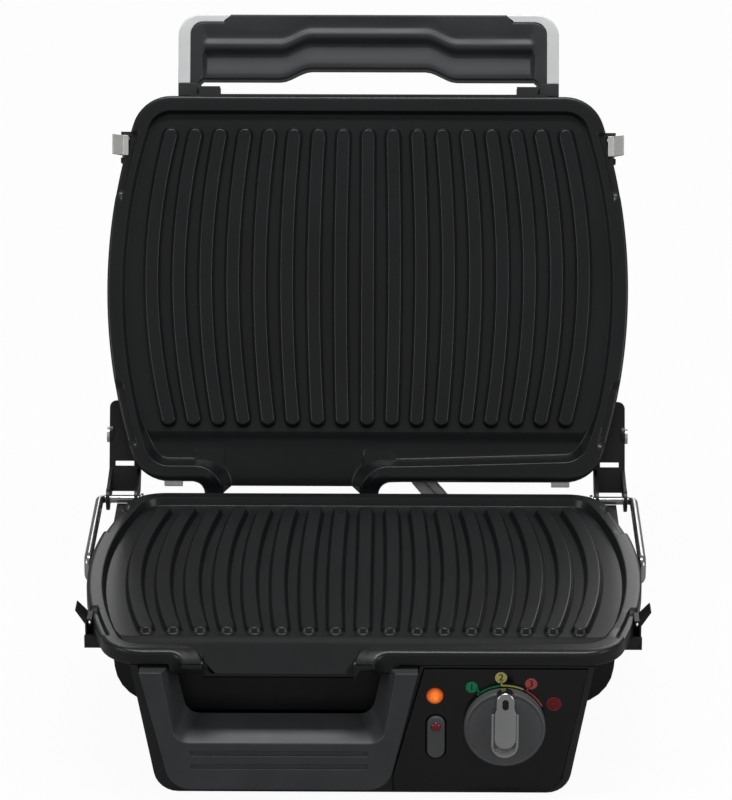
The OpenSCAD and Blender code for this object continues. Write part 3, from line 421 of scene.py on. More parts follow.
# the recess's wall leans less at the sides and rear than at the front
WALL_TOP, STEEP_SHARE, LEAN_FROM, LEAN_TO = 0.0094, 0.34, 0.078, 0.104
# the floor's fall: level, a steep band, then the spout's own slope to its lip
CREASE_Y, BAND_LOW, CREASE_SOFT, BAND_SLOPE = -0.0885, -0.0952, 0.001, 0.40
BAND_ROWS, SPOUT_ROWS = 5, 4
# keeps the floor's points from falling on each other
APART = 0.00001
TONGUE_Y, LIP_Y, TONGUE_DROP, TONGUE_T = -0.1234, -0.129, 0.0128, 0.0024
# the flange's top bows down to the ends of the spout's sides
BOW_DROP, BOW_FROM = 0.0045, 0.1165
# the sides' lower edge first falls, then rises to their ends
LEG_FALL, LEG_RISE, LEG_FROM, LEG_TURN = 0.0052, 0.0062, 0.1135, 0.1195
# underside: how far below the floor, and never past these depths
FLOOR_T, UNDER_FRONT, UNDER_MORE, UNDER_FROM, UNDER_TO = 0.0064, 0.0084, 0.0016, -0.1176, -0.106
SKIRT_COVER = 0.0008
FLANK_H, TONGUE_EDGE = 0.0019, 0.0006


def arc(cx, cy, r, start, end, steps):
    """Points on an arc, angles in degrees, without its first point."""
    return [
        (cx + r * math.cos(math.radians(a)), cy + r * math.sin(math.radians(a)))
        for a in (start + (end - start) * k / steps for k in range(1, steps + 1))
    ]


def plate_loop(inset, tip):
    """Outline of a plate moved inwards, from the left end of the tongue round to its left end again.

    Each point carries the part it belongs to, which sets its height."""
    side_r, corner = SIDE_R - inset, max(CORNER_R - inset, 0.004)
    cy = PLATE_L / 2 - inset - corner
    reach = SIDE_R - PLATE_W / 2
    cx = math.sqrt((side_r - corner) ** 2 - cy * cy) - reach
    lean = math.degrees(math.asin(cy / (side_r - corner)))
    front = -PLATE_L / 2 + inset
    over = max(inset - FLANGE, 0)
    neck = min(NECK_R + inset, NECK_LIMIT)
    right, left = CHUTE_MID + LEG_OUT, CHUTE_MID - LEG_OUT
    shift = min(inset, FLANGE) * (LEG_OUT - CHUTE_HALF) / FLANGE + over
    wall = CHUTE_HALF - over
    end_y = TONGUE_Y if over > 0 else LIP_Y + tip
    loop = []

    def put(kind, points):
        loop.extend((x, y, kind) for x, y in points)

    def span(x0, y0, x1, y1, steps):
        return [(x0 + (x1 - x0) * k / steps, y0 + (y1 - y0) * k / steps) for k in range(1, steps + 1)]

    # tongue, left to right, then the right leg
    put("tongue", span(CHUTE_MID - wall, TONGUE_Y, CHUTE_MID + wall, TONGUE_Y, 24))
    put("inner", span(CHUTE_MID + wall, TONGUE_Y, CHUTE_MID + wall, end_y, 3))
    put("tip", span(CHUTE_MID + wall, end_y, right - shift, end_y, 3))
    put("leg", span(right - shift, end_y, right - shift, front - neck, 10))
    put("leg", arc(right - shift + neck, front - neck, neck, 180, 90, 10))
    put("rim", span(right - shift + neck, front, cx, front, 16))
    put("rim", arc(cx, -cy, corner, -90, -lean, 9))
    put("rim", arc(-reach, 0, side_r, -lean, lean, 96))
    put("rim", arc(cx, cy, corner, lean, 90, 9))
    put("rim", span(cx, cy + corner, -cx, cy + corner, 24))
    put("rim", arc(-cx, cy, corner, 90, 180 - lean, 9))
    put("rim", arc(reach, 0, side_r, 180 - lean, 180 + lean, 96))
    put("rim", arc(-cx, -cy, corner, 180 + lean, 270, 9))
    put("rim", span(-cx, front, left + shift - neck, front, 6))
    put("leg", arc(left + shift - neck, front - neck, neck, 90, 0, 10))
    put("leg", span(left + shift, front - neck, left + shift, end_y, 10))
    put("tip", span(left + shift, end_y, CHUTE_MID - wall, end_y, 3))
    put("inner", span(CHUTE_MID - wall, end_y, CHUTE_MID - wall, TONGUE_Y, 3))
    inward = ramp(inset, INWARD_FROM, INWARD_TO)
    return [(x, y + slant(x, y) * inward, kind) for x, y, kind in loop]


def wall_loop(inset, tip):
    """Like plate_loop, with the recess's wall steep at the sides and rear and leaning at the front."""
    wide = plate_loop(inset, tip)
    if inset <= WALL_TOP:
        return wide
    steep = plate_loop(WALL_TOP + (inset - WALL_TOP) * STEEP_SHARE, tip)
    mixed = []
    for (x0, y0, kind), (x1, y1, _) in zip(steep, wide):
        t = ramp(-(y0 + y1) / 2, LEAN_FROM, LEAN_TO)
        mixed.append((x0 + (x1 - x0) * t, y0 + (y1 - y0) * t, kind))
    return mixed


def slant(x, y):
    """The recess's front edge runs back towards the side away from the spout."""
    start = CHUTE_MID + LEG_OUT + NECK_LIMIT
    along = min(max((x - start) / (PLATE_W / 2 - SLANT_SHORT - start), 0), 1)
    return SLANT * along * ramp(-y, SLANT_FROM, SLANT_TO)


def ramp(value, low, high):
    """Rises smoothly from 0 at low to 1 at high."""
    t = min(max((value - low) / (high - low), 0), 1)
    return t * t * (3 - 2 * t)


def flange_drop(y):
    """How far the top of the flange bows down towards the ends of the spout's sides."""
    return BOW_DROP * ramp(-y, BOW_FROM, -LIP_Y)


def knee(run):
    """Distance run past a bend that is rounded off over CREASE_SOFT."""
    run = max(run, 0)
    return run * run / (2 * CREASE_SOFT) if run < CREASE_SOFT else run - CREASE_SOFT / 2


def floor_drop(y):
    """Fall of the floor below the recess: level at the ribs, a steep band, then one slope to the lip."""
    whole, rest = knee(CREASE_Y - TONGUE_Y), knee(BAND_LOW - TONGUE_Y)
    spout_slope = (TONGUE_DROP - RECESS - BAND_SLOPE * whole) / rest + BAND_SLOPE
    return BAND_SLOPE * knee(CREASE_Y - y) - (BAND_SLOPE - spout_slope) * knee(BAND_LOW - y)


def skirt_low(y, kind):
    """Depth of the skirt's foot."""
    if kind in ("tongue", "inner"):
        return TONGUE_DROP + TONGUE_T
    if kind == "rim":
        return SKIRT
    return SKIRT + LEG_FALL * ramp(-y, LEG_FROM, LEG_TURN) - LEG_RISE * ramp(-y, LEG_TURN, -LIP_Y)


# rings from the skirt's foot over the flange to the floor's edge:
# (inset, tip's inset, depth under the rim or a place on the skirt, share of the floor's own slope)
RINGS = [
    (0.0034, 0.002, "under", 1), (0.0028, 0.002, "foot", 0), (0.0008, 0.0004, "foot", 0), (0.0, 0.0, "skirt", 0),
    (0.0, 0.0, FLANK_H, 0), (0.0002, 0.0003, 0.0010, 0), (0.0007, 0.0009, 0.0004, 0), (0.0015, 0.0016, 0.0001, 0),
    (0.0026, 0.0022, 0.0, 0), (0.0041, 0.0023, 0.0, 0), (0.0046, 0.0023, 0.0, 0), (0.0050, 0.0024, 0.0, 0),
    (0.0055, 0.0024, 0.0, 0), (0.0086, 0.0026, 0.0, 0), (0.0090, 0.0027, 0.00005, 0),
    (0.0094, 0.0028, 0.00022, 0), (0.0098, 0.0028, 0.00050, 0.05), (0.0120, 0.003, 0.00235, 0.5),
    (0.0140, 0.003, 0.00402, 0.9), (0.0145, 0.003, 0.00434, 0.97), (0.0150, 0.003, 0.00453, 1),
    (0.0156, 0.003, RECESS, 1),
]


def notch_drop(x, y, inset):
    """Depth of the shallow steps cut into the flange's outer edge at the sides."""
    if abs(x) < PLATE_W / 2 - NOTCH_CLEAR:
        return 0
    inside = 1 - ramp(inset, NOTCH_IN - 0.0004, NOTCH_IN + 0.0004)
    along = max(
        ramp(y, a - NOTCH_BLEND, a + NOTCH_BLEND) * (1 - ramp(y, b - NOTCH_BLEND, b + NOTCH_BLEND))
        for a, b in NOTCHES
    )
    return NOTCH_DEEP * inside * along


def ring_height(x, y, kind, ring):
    """Height of a ring's point against the rim's plane."""
    inset, _, down, share = ring
    if down == "under":
        return -under_low(y, kind)
    if down == "foot":
        return -skirt_low(y, kind)
    if down == "skirt":
        return SKIRT_COVER - skirt_low(y, kind)
    if kind == "tongue":
        return -TONGUE_DROP - (TONGUE_EDGE if down == FLANK_H else 0)
    top = flange_drop(y)
    if kind == "rim":
        top += notch_drop(x, y, inset)
    return -(top * (1 - share) + down + floor_drop(y) * share)


def loop_edges(made, points):
    """A closed loop of edges through points."""
    verts = [made.verts.new(p) for p in points]
    return verts, [made.edges.new(pair) for pair in zip(verts, verts[1:] + verts[:1])]


def bridged(made, sections):
    """A surface from each closed loop of points to the next, all with equal numbers of points."""
    rows = [loop_edges(made, section) for section in sections]
    for (_, low), (_, high) in zip(rows, rows[1:]):
        bmesh.ops.bridge_loops(made, edges=low + high)
    return [verts for verts, _ in rows]


def skin(made, sections):
    """A closed form through closed loops of points."""
    rows = bridged(made, sections)
    made.faces.new(rows[0][::-1])
    made.faces.new(rows[-1])


def under_low(y, kind):
    """Depth of a plate's underside: under the spout it follows the floor, elsewhere it stays behind the skirt."""
    free = FLOOR_T + floor_drop(y)
    if kind in ("tongue", "inner"):
        return free
    cap = UNDER_FRONT + UNDER_MORE * ramp(y, UNDER_FROM, UNDER_TO)
    if kind in ("leg", "tip"):
        cap = min(cap, skirt_low(y, kind) - SKIRT_COVER)
    return min(free, cap)


def fill_floor(made, verts, height_at):
    """Closes a ring: a flat face behind the crease, and rows that follow the floor's fall in front of it."""
    total = len(verts)
    behind = [k for k in range(total) if verts[k].co.y > CREASE_Y]
    first, last = behind[0], behind[-1]
    made.faces.new(verts[first:last + 1])
    front = [verts[k % total] for k in range(last, total + first + 1)]
    rows = [front]
    steps = [(part, (k + 1) / count) for part, count in enumerate((BAND_ROWS, SPOUT_ROWS)) for k in range(count)]
    for part, step in steps:
        row = []
        for k, v in enumerate(front):
            if k in (0, len(front) - 1):
                row.append(v)
                continue
            turn = min(max(v.co.y, BAND_LOW), CREASE_Y)
            start, end = ((v.co.y, turn), (turn, CREASE_Y))[part]
            x = v.co.x + (k - len(front) / 2) * APART
            y = start + (end - start) * step
            row.append(made.verts.new((x, y, height_at(y, k + last))))
        rows.append(row)
    for near, far in zip(rows, rows[1:]):
        for a, b, c, d in zip(near, near[1:], far[1:], far):
            corners = [v for n, v in enumerate((a, b, c, d)) if v not in (a, b, c, d)[:n]]
            if len(corners) > 2:
                made.faces.new(corners)
    back = rows[-1]
    if len(back) > 3:
        made.faces.new(back)


def build_plate():
    """A grill plate round its own middle, the rim's plane at height 0 and the spout at -Y."""
    made = bmesh.new()
    loops = [(ring, wall_loop(ring[0], ring[1])) for ring in RINGS]
    rows = bridged(made, [
        [(x, y, ring_height(x, y, kind, ring)) for x, y, kind in loop] for ring, loop in loops
    ])
    kinds = [kind for _, _, kind in loops[0][1]]
    fill_floor(made, rows[0], lambda y, k: -under_low(y, kinds[k % len(kinds)]))
    fill_floor(made, rows[-1], lambda y, k: -RECESS - floor_drop(y))
    bmesh.ops.remove_doubles(made, verts=made.verts, dist=0.00002)
    bmesh.ops.dissolve_degenerate(made, edges=made.edges, dist=0.00001)
    for k in range(-RIB_PAIRS, RIB_PAIRS + 1):
        add_rib(made, k)
    return made


# a rib's section from its foot in the floor to its top: (half its width, height over the floor)
RIB_PROFILE = [
    (0.0060, -0.0003), (0.0057, 0.0001), (0.0053, 0.0003), (0.0050, 0.0007), (0.0047, 0.0014),
    (0.0044, 0.0025), (0.0041, 0.0031), (0.0037, 0.0035), (0.0031, 0.0037),
]


def rib_loop(k, half, height):
    """Outline of a rib with round ends; the sides of the outer ribs bow outwards."""
    long = RIB_L / 2
    bow = k * RIB_PITCH * RIB_BOW
    heights = (-long + 2 * long * i / 16 for i in range(17))
    mid = [(k * RIB_PITCH + bow * (1 - (y / long) ** 2), y) for y in heights]
    lean = [math.atan(2 * bow * y / long ** 2) for _, y in mid]

    def side(s):
        return [(x + s * half * math.cos(a), y + s * half * math.sin(a)) for (x, y), a in zip(mid, lean)]

    def end(at, start):
        angles = (start + math.pi * i / 10 for i in range(1, 10))
        return [(at[0] + half * math.cos(a), at[1] + half * math.sin(a)) for a in angles]

    path = side(1) + end(mid[-1], lean[-1]) + side(-1)[::-1] + end(mid[0], lean[0] + math.pi)
    return [(x, y + RIB_MID_Y, height - RECESS) for x, y in path]


def add_rib(made, k):
    rows = bridged(made, [rib_loop(k, half, height) for half, height in RIB_PROFILE])
    made.faces.new(rows[-1])


# ---------- places on the base and on the open lid ----------

RIM_H = 0.092
LID_Y, LID_Z = 0.1427041, 0.0908379
LID_LEAN = math.radians(24)
ON_BASE = Matrix.Translation((0, -ORIGIN_Y, RIM_H))
ON_LID = (
    Matrix.Translation((0, LID_Y - ORIGIN_Y, LID_Z))
    @ Matrix.Rotation(math.pi / 2 - LID_LEAN, 4, "X")
    @ Matrix.Translation((0, PLATE_L / 2, 0))
)


# ---------- pieces ----------


def shown(name, made, finish, sharp):
    """Turns a bmesh into an object, smooth but for edges sharper than sharp degrees."""
    mesh = bpy.data.meshes.new(name)
    made.to_mesh(mesh)
    made.free()
    mesh.shade_smooth()
    mesh.set_sharp_from_angle(angle=math.radians(sharp))
    mesh.materials.append(FINISH[finish].material)
    obj = bpy.data.objects.new(name, mesh)
    bpy.context.scene.collection.objects.link(obj)
    return obj


def even_shading(obj):
    obj.modifiers.new("even shading", "WEIGHTED_NORMAL").keep_sharp = True


def ride(obj, body, replaces):
    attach(obj, body)
    if replaces:
        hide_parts(*replaces)


def piece(name, made, body, slot, replaces=(), place=None, sharp=35, finish=None, faceted=False):
    """A new closed piece, put in its place, that rides on a body."""
    bmesh.ops.recalc_face_normals(made, faces=made.faces)
    if place is not None:
        bmesh.ops.transform(made, matrix=place, verts=made.verts)
    obj = shown(name, made, finish or slot, sharp)
    if not faceted:
        even_shading(obj)
    ride(obj, body, replaces)


# ---------- CAD shapes with softened edges ----------

# the ears that hold the lower clips' pins: where they are, and how far out they reach
EAR_Y, EAR_AROUND, EAR_LOW, EAR_HIGH, EAR_REACH = -0.069, 0.012, 0.073, 0.084, 0.1597


def trim_ears(made):
    """Brings the outer faces of the ears that hold the lower clips' pins in close to the pins."""
    for vert in made.verts:
        x, y, z = vert.co.x, vert.co.y + ORIGIN_Y, vert.co.z
        if abs(y - EAR_Y) < EAR_AROUND and EAR_LOW < z < EAR_HIGH and abs(x) > EAR_REACH:
            vert.co.x = math.copysign(EAR_REACH, x)


ARM_CORNER, ARM_CUTS = 0.0045, (15, 35, 55, 75)


def round_arm(made):
    """Rounds the outer top corner of an arm's channel with a few flat cuts."""
    inverse = ON_LID.inverted()
    local = [inverse @ vert.co for vert in made.verts]
    top, outer = max(point.y for point in local), max((point.x for point in local), key=abs)
    side = math.copysign(1, outer)
    for turn in ARM_CUTS:
        across, along = math.sin(math.radians(turn)), math.cos(math.radians(turn))
        point = Vector((outer - side * ARM_CORNER * (1 - across), top - ARM_CORNER * (1 - along), 0))
        normal = ON_LID.to_3x3() @ Vector((side * across, along, 0))
        cut = bmesh.ops.bisect_plane(
            made, geom=made.verts[:] + made.edges[:] + made.faces[:], dist=0.000005,
            plane_co=ON_LID @ point, plane_no=normal, clear_outer=True,
        )
        rim = [part for part in cut["geom_cut"] if isinstance(part, bmesh.types.BMEdge) and part.is_boundary]
        bmesh.ops.contextual_create(made, geom=rim)
    bmesh.ops.recalc_face_normals(made, faces=made.faces)


# the tray's middle, the back of its lip, and the room in the housing that it slides into; faces behind the lip and
# round that room are painted near-black as shade
TRAY_X, LIP_BACK = -0.047, -0.110
ROOM_HALF, ROOM_FRONT, ROOM_REAR, ROOM_LOW, ROOM_HIGH = 0.0745, -0.1172, 0.045, 0.006, 0.0845


def in_tray_room(middle, _):
    """Whether a face of the housing lines the room that the tray slides into, and so takes painted shade."""
    x, y, z = middle.x - TRAY_X, middle.y + ORIGIN_Y, middle.z
    return abs(x) < ROOM_HALF and ROOM_FRONT < y < ROOM_REAR and ROOM_LOW < z < ROOM_HIGH


def in_bowl(middle, normal):
    """Whether a face of the tray lines its bowl, behind the lip, and so takes painted shade."""
    x, y = middle.x - TRAY_X, middle.y + ORIGIN_Y
    inwards = normal.x * x < -0.0001 or normal.z > 0.4 or (normal.y > 0.5 and y < 0) or (normal.y < -0.5 and y > 0)
    return y > LIP_BACK + 0.0012 and inwards


def softened(node, body, slot, width, inside):
    """The CAD node's own shape with its edges rounded off; faces that inside() picks take a second, near-black
    finish that paints shade.
    """
    made = bmesh.new()
    made.from_mesh(NODES[node].data)
    bmesh.ops.remove_doubles(made, verts=made.verts, dist=0.00002)
    bmesh.ops.dissolve_limit(
        made, angle_limit=math.radians(1), verts=made.verts, edges=made.edges, delimit={"NORMAL"}
    )
    # faces deep in shade take the second, near-black material: painted shade
    if inside:
        for face in made.faces:
            face.material_index = int(inside(face.calc_center_median(), face.normal))
    if node == "base_housing":
        trim_ears(made)
    if node in ("arm_left", "arm_right"):
        round_arm(made)
    obj = shown(node + "_finished", made, slot, 40)
    if inside:
        obj.data.materials.append(FINISH["tray_bowl_painted_shade"].material)
    edge = obj.modifiers.new("edges", "BEVEL")
    edge.width = width
    edge.segments = 3
    edge.limit_method = "ANGLE"
    edge.angle_limit = math.radians(34)
    edge.use_clamp_overlap = True
    edge.harden_normals = False
    even_shading(obj)
    ride(obj, body, [node])


# how far each node's edges are rounded off
SOFT_EDGES = {
    "base_housing": 0.0009, "drip_tray": 0.0008, "control_fascia": 0.0006, "arm_left": 0.0007, "arm_right": 0.0007,
    "lid_shell": 0.0009, "handle_cover": 0.0012, "clip_lower_left": 0.0003, "clip_lower_right": 0.0003,
    "clip_upper_left": 0.0005, "clip_upper_right": 0.0005, "bottom_cover": 0.0003,
}


def soften_cad_nodes():
    bodies = {node: body for body, nodes in frame["record"]["behaviour"]["bodies"].items() for node in nodes}
    painted_shade_faces = {"drip_tray": in_bowl, "base_housing": in_tray_room}
    for node, width in SOFT_EDGES.items():
        softened(node, bodies[node], SLOTS[node], width, painted_shade_faces.get(node))


# ---------- plates ----------


def add_plates():
    for node, body, place in (("plate_lower", "base", ON_BASE), ("plate_upper", "lid", ON_LID)):
        piece(node + "_cast", build_plate(), body, "plate_coating", [node], place)


# ---------- handle ----------

# sizes across the lid, U heights along it from the plate's middle, and depths out of its face
HANDLE_HALF, LEG_W = 0.120, 0.0124
HANDLE_U = PLATE_L / 2 + 0.0535
HANDLE_BACK, HANDLE_FRONT, SEAM_OUT = -0.039, -0.012, -0.027
FACE_BACK, FACE_FLAT = 0.0003, 0.0027
# the grip's lower edge, higher in the middle, with the crease above it
GRIP_LOW, GRIP_RISE, CREASE_UP = PLATE_L / 2 + 0.0122, 0.0068, 0.0195
RISE_FROM, RISE_TO, TOP_OVER_CREASE = 0.056, 0.036, 0.0145
# the hollow under the crease runs out between these places
SHAPE_END, SHAPE_RUN = 0.1015, 0.0043
# silver trims: width at the sides and on top, the outer and inner corner, where the S at the end lies
TRIM_SIDE, TRIM_TOP, TRIM_R, TRIM_END, TRIM_SLIDE = 0.0076, 0.0047, 0.014, 0.0915, 0.0045
INNER_R = TRIM_R - 0.006
TRIM_LOW = PLATE_L / 2 + 0.0099
# the legs and the feet that they stand on
LEG_FOOT, LEG_FILLET = PLATE_L / 2 + 0.0053, 0.0055
FOOT_LOW, FOOT_BACK = PLATE_L / 2 + 0.0015, -0.0150

# up the grip's front, from its lower edge and from its crease: (height, how far behind the front)
FRONT_FROM_LOW = [(0.0002, 0.0050), (0.0006, 0.0037), (0.0016, 0.0030)]
FRONT_FROM_CREASE = [
    (-0.0150, 0.0033), (-0.0115, 0.0041), (-0.0080, 0.0048), (-0.0055, 0.0052), (-0.0042, 0.0052),
    (-0.0031, 0.0047), (-0.0020, 0.0035), (-0.0010, 0.0019), (0.0002, 0.0008), (0.0016, 0.0002),
    (0.0030, 0.0003), (0.0044, 0.0008), (0.0060, 0.0015), (0.0076, 0.0018), (0.0098, 0.0014), (0.0125, 0.0007),
]
# over its rounded top edge: (distance below the top, how far behind the face)
GRIP_EDGE = [(0.0014, 0), (0.0006, 0.0002), (0.0002, 0.0006), (0, 0.0014)]


def round_off(value, start, r):
    """How far a quarter circle of radius r has fallen where it starts at start."""
    over = min(max(value - start, 0), r)
    return r - math.sqrt(r * r - over * over)


def grip_section(x):
    """Closed section of the grip's front half at x, as (height along the lid, distance out of it)."""
    side = abs(x)
    inner, leg = HANDLE_HALF - TRIM_SIDE, HANDLE_HALF - LEG_W
    base = GRIP_LOW + GRIP_RISE * ramp(RISE_FROM - side, 0, RISE_FROM - RISE_TO)
    crease = base + CREASE_UP
    low = LEG_FOOT if side > leg + 0.00002 else base - round_off(side, leg - LEG_FILLET, LEG_FILLET)
    top = HANDLE_U - TRIM_TOP * ramp(side, TRIM_END - TRIM_SLIDE, TRIM_END)
    top -= round_off(side, inner - INNER_R, INNER_R)
    shaped = 1 - ramp(side, SHAPE_END, SHAPE_END + SHAPE_RUN)
    points = [(low + 0.0015 * shaped, SEAM_OUT), (low, HANDLE_FRONT - 0.0105)]
    points += [(low + up, HANDLE_FRONT - back + FACE_FLAT * (1 - shaped)) for up, back in FRONT_FROM_LOW]
    points += [
        (crease + up, HANDLE_FRONT - back * shaped - FACE_BACK * (1 - shaped)) for up, back in FRONT_FROM_CREASE
    ]
    high = max(top, crease + TOP_OVER_CREASE)
    points += [(high - down, HANDLE_FRONT - FACE_BACK - back) for down, back in GRIP_EDGE]
    return points + [(high, SEAM_OUT)]


def grip_places():
    """Places along the grip where its section changes, from the middle outwards."""
    leg = HANDLE_HALF - LEG_W
    inner = HANDLE_HALF - TRIM_SIDE
    places = {0.0, 0.018, RISE_TO, RISE_FROM, 0.070, 0.0790, leg + 0.00003, inner}
    places |= {RISE_TO + (RISE_FROM - RISE_TO) * k / 10 for k in range(11)}
    places |= {TRIM_END - TRIM_SLIDE * k / 6 for k in range(7)}
    places |= {SHAPE_END + SHAPE_RUN * k / 7 for k in range(8)}
    places |= {leg - LEG_FILLET * (1 - math.sin(math.pi / 2 * k / 6)) for k in range(7)}
    places |= {inner - INNER_R * (1 - math.sin(math.pi / 2 * k / 9)) for k in range(10)}
    return sorted(places)


def add_grip():
    made = bmesh.new()
    places = grip_places()
    along = [-x for x in places[:0:-1]] + places
    skin(made, [[(x, u, out) for u, out in grip_section(x)] for x in along])
    for side in (-1, 1):
        middle = Vector((
            side * (HANDLE_HALF - LEG_W / 2 + 0.0001), (FOOT_LOW + TRIM_LOW) / 2, (FOOT_BACK + HANDLE_FRONT) / 2
        ))
        size = Vector((LEG_W - 0.0002, TRIM_LOW - FOOT_LOW - 0.0001, HANDLE_FRONT - FOOT_BACK - 0.0004))
        foot = bmesh.ops.create_cube(made, size=1, matrix=Matrix.LocRotScale(middle, None, size))
        edges = list({edge for vert in foot["verts"] for edge in vert.link_edges})
        bmesh.ops.bevel(made, geom=edges, offset=0.0006, segments=2, profile=0.5, affect="EDGES", material=-1)
    piece("handle_front_moulded", made, "lid", "handle_plastic", ["handle"], ON_LID, sharp=50)


# across a trim's front, from its outer edge: (share of the width, how far behind the front)
TRIM_ACROSS = [
    (0.0, 0.0010), (0.03, 0.0003), (0.11, 0.0), (0.3, 0.0), (0.5, 0.0), (0.7, 0.0), (0.89, 0.0), (0.97, 0.0001),
    (1.0, 0.0004),
]
TRIM_BACK = HANDLE_BACK + 0.005


def trim_stations():
    """(outer point, inner point, how far the S at the end is formed) along one silver trim, from its foot."""
    ox, ou = HANDLE_HALF - TRIM_R, HANDLE_U - TRIM_R
    ix, iu = HANDLE_HALF - TRIM_SIDE - INNER_R, HANDLE_U - TRIM_TOP - INNER_R
    stations = [
        ((HANDLE_HALF, u), (HANDLE_HALF - TRIM_SIDE, u), 0)
        for u in (TRIM_LOW, TRIM_LOW + 0.0006, TRIM_LOW + 0.010, TRIM_LOW + 0.020, ou - 0.0005)
    ]
    for k in range(13):
        a = math.radians(90 * k / 12)
        stations.append((
            (ox + TRIM_R * math.cos(a), ou + TRIM_R * math.sin(a)),
            (ix + INNER_R * math.cos(a), iu + INNER_R * math.sin(a)), 0,
        ))
    for share in (0.35, 0.7, 1.0):
        x = ox + (TRIM_END - TRIM_SLIDE - ox) * share
        xi = ix + (TRIM_END - ix) * share
        stations.append(((x, HANDLE_U), (xi, HANDLE_U - TRIM_TOP), share))
    return stations


def add_trim(side):
    made = bmesh.new()
    sections = []
    for outer, inner, s_share in trim_stations():
        front = []
        for t, fall in TRIM_ACROSS:
            bent = t * (1 - s_share) + ramp(t, 0, 1) * s_share
            front.append((
                side * (outer[0] + (inner[0] - outer[0]) * bent), outer[1] + (inner[1] - outer[1]) * t,
                HANDLE_FRONT - fall,
            ))
        back = [(front[k][0], front[k][1], TRIM_BACK) for k in (-1, 0)]
        sections.append(front + back)
    skin(made, sections)
    name = "handle_trim_left" if side < 0 else "handle_trim_right"
    piece(name + "_bent", made, "lid", "silver_trim", [name], ON_LID, sharp=40)


# ---------- control panel ----------

DIAL_X, DIAL_Z, DIAL_R, DIAL_T, DIAL_GAP = 0.0805, 0.0465, 0.023, 0.008, 0.0004
GRIP_TOP, GRIP_FOOT, GRIP_H = 0.0262, -0.0165, 0.0079
WINDOW = 0.0160, 0.0224, 0.0018
ROCKER_X, ROCKER_Z, ROCKER_W, ROCKER_L = 0.0417, 0.0386, 0.0102, 0.026
LENS_Z, LENS_R, LENS_UP = 0.0452, 0.0028, 0.0016


def on_front(x, z, out=0.0):
    """Local X to the right, Y up and Z out of the front, from a place on the panel's face."""
    return Matrix.Translation((x, FRONT_Y - out - ORIGIN_Y, z)) @ Matrix.Rotation(math.pi / 2, 4, "X")


def turned(made, profile, steps=96):
    """Turned form from (radius, height) pairs, capped at its first and last rings."""
    verts = [made.verts.new((r, 0, h)) for r, h in profile]
    edges = [made.edges.new(pair) for pair in zip(verts, verts[1:])]
    bmesh.ops.spin(
        made, geom=verts + edges, cent=(0, 0, 0), axis=(0, 0, 1), angle=2 * math.pi, steps=steps, use_merge=True
    )
    cap(made)


def cap(made):
    """Closes open ends."""
    bmesh.ops.holes_fill(made, edges=[edge for edge in made.edges if edge.is_boundary])


def add_dial():
    made = bmesh.new()
    r, t = DIAL_R, DIAL_T
    turned(made, [
        (r - 0.0008, 0.0), (r - 0.0001, 0.0006), (r, 0.0012), (r, t - 0.0020), (r - 0.0002, t - 0.0013),
        (r - 0.0006, t - 0.0008), (r - 0.0010, t - 0.00055), (r - 0.0014, t - 0.00045), (r - 0.0017, t - 0.00055),
        (r - 0.0020, t - 0.0008), (r - 0.0024, t - 0.0008), (r - 0.0030, t - 0.0005), (r - 0.0060, t - 0.00022),
        (r - 0.0120, t - 0.00006), (0.0004, t),
    ])
    piece("dial_turned", made, "knob", "dial_plastic", ["dial"], on_front(DIAL_X, DIAL_Z, DIAL_GAP), sharp=50)


# a bar narrows between these heights
NARROW_FROM, NARROW_TO = 0.0128, 0.0165


def bar_loop(low, high, half, narrow, h):
    """Upright bar with round ends at height h; its upper part is narrower by narrow."""

    def wide(v):
        return half - narrow * ramp(v, NARROW_FROM, NARROW_TO)

    top = wide(high)
    upper, lower = high - top, low + half
    straight = [upper - (upper - lower) * k / 16 for k in range(1, 16)]
    points = [(top, upper)] + arc(0, upper, top, 0, 180, 12) + [(-wide(v), v) for v in straight]
    points += [(-half, lower)] + arc(0, lower, half, 180, 360, 12) + [(wide(v), v) for v in straight[::-1]]
    return [(x, v, h) for x, v in points]


def add_dial_grip():
    """The bar across the dial on its base, and a dark sheet in the window near its tip that paints the hole's
    shade.
    """
    made = bmesh.new()
    foot, top, h = GRIP_FOOT, GRIP_TOP, GRIP_H
    # (lower end, upper end, half the width, how much narrower at the top, height)
    base = [
        (foot, 0.0182, 0.0079, 0.0012, 0.0), (foot, 0.0182, 0.0079, 0.0012, 0.0016),
        (foot + 0.0003, 0.0180, 0.0077, 0.0012, 0.0022), (foot + 0.0008, 0.0176, 0.0073, 0.0012, 0.0026),
    ]
    bar = [
        (foot + 0.0012, top - 0.0001, 0.0066, 0.0011, 0.0), (foot + 0.0012, top, 0.0066, 0.0011, 0.0024),
        (foot + 0.0028, top, 0.0065, 0.0011, 0.0030), (foot + 0.0058, top, 0.0064, 0.0010, 0.0052),
        (foot + 0.0076, top - 0.0001, 0.0063, 0.0010, h - 0.0013),
        (foot + 0.0083, top - 0.0003, 0.0061, 0.0010, h - 0.0006),
        (foot + 0.0090, top - 0.0007, 0.0057, 0.0010, h - 0.00015),
        (foot + 0.0097, top - 0.0013, 0.0051, 0.0010, h),
    ]
    for levels in (base, bar):
        skin(made, [bar_loop(*level) for level in levels])
    place = on_front(DIAL_X, DIAL_Z, DIAL_GAP + DIAL_T)
    piece("dial_grip_bar", made, "knob", "dial_grip", ["dial_pointer"], place, sharp=50)
    # a thin dark sheet fills the window: painted shade for the inside of the hole
    mark = bmesh.new()
    low, high, half = WINDOW
    middle = (low + high) / 2
    skin(mark, [
        [(x * k, middle + (v - middle) * k, height) for x, v, _ in bar_loop(low, high, half, 0, 0)]
        for k, height in ((1.0, h - 0.0012), (1.0, h + 0.00002), (0.9, h + 0.00005))
    ])
    piece("dial_grip_window_painted_shade", mark, "knob", "gloss_fascia", [], place)


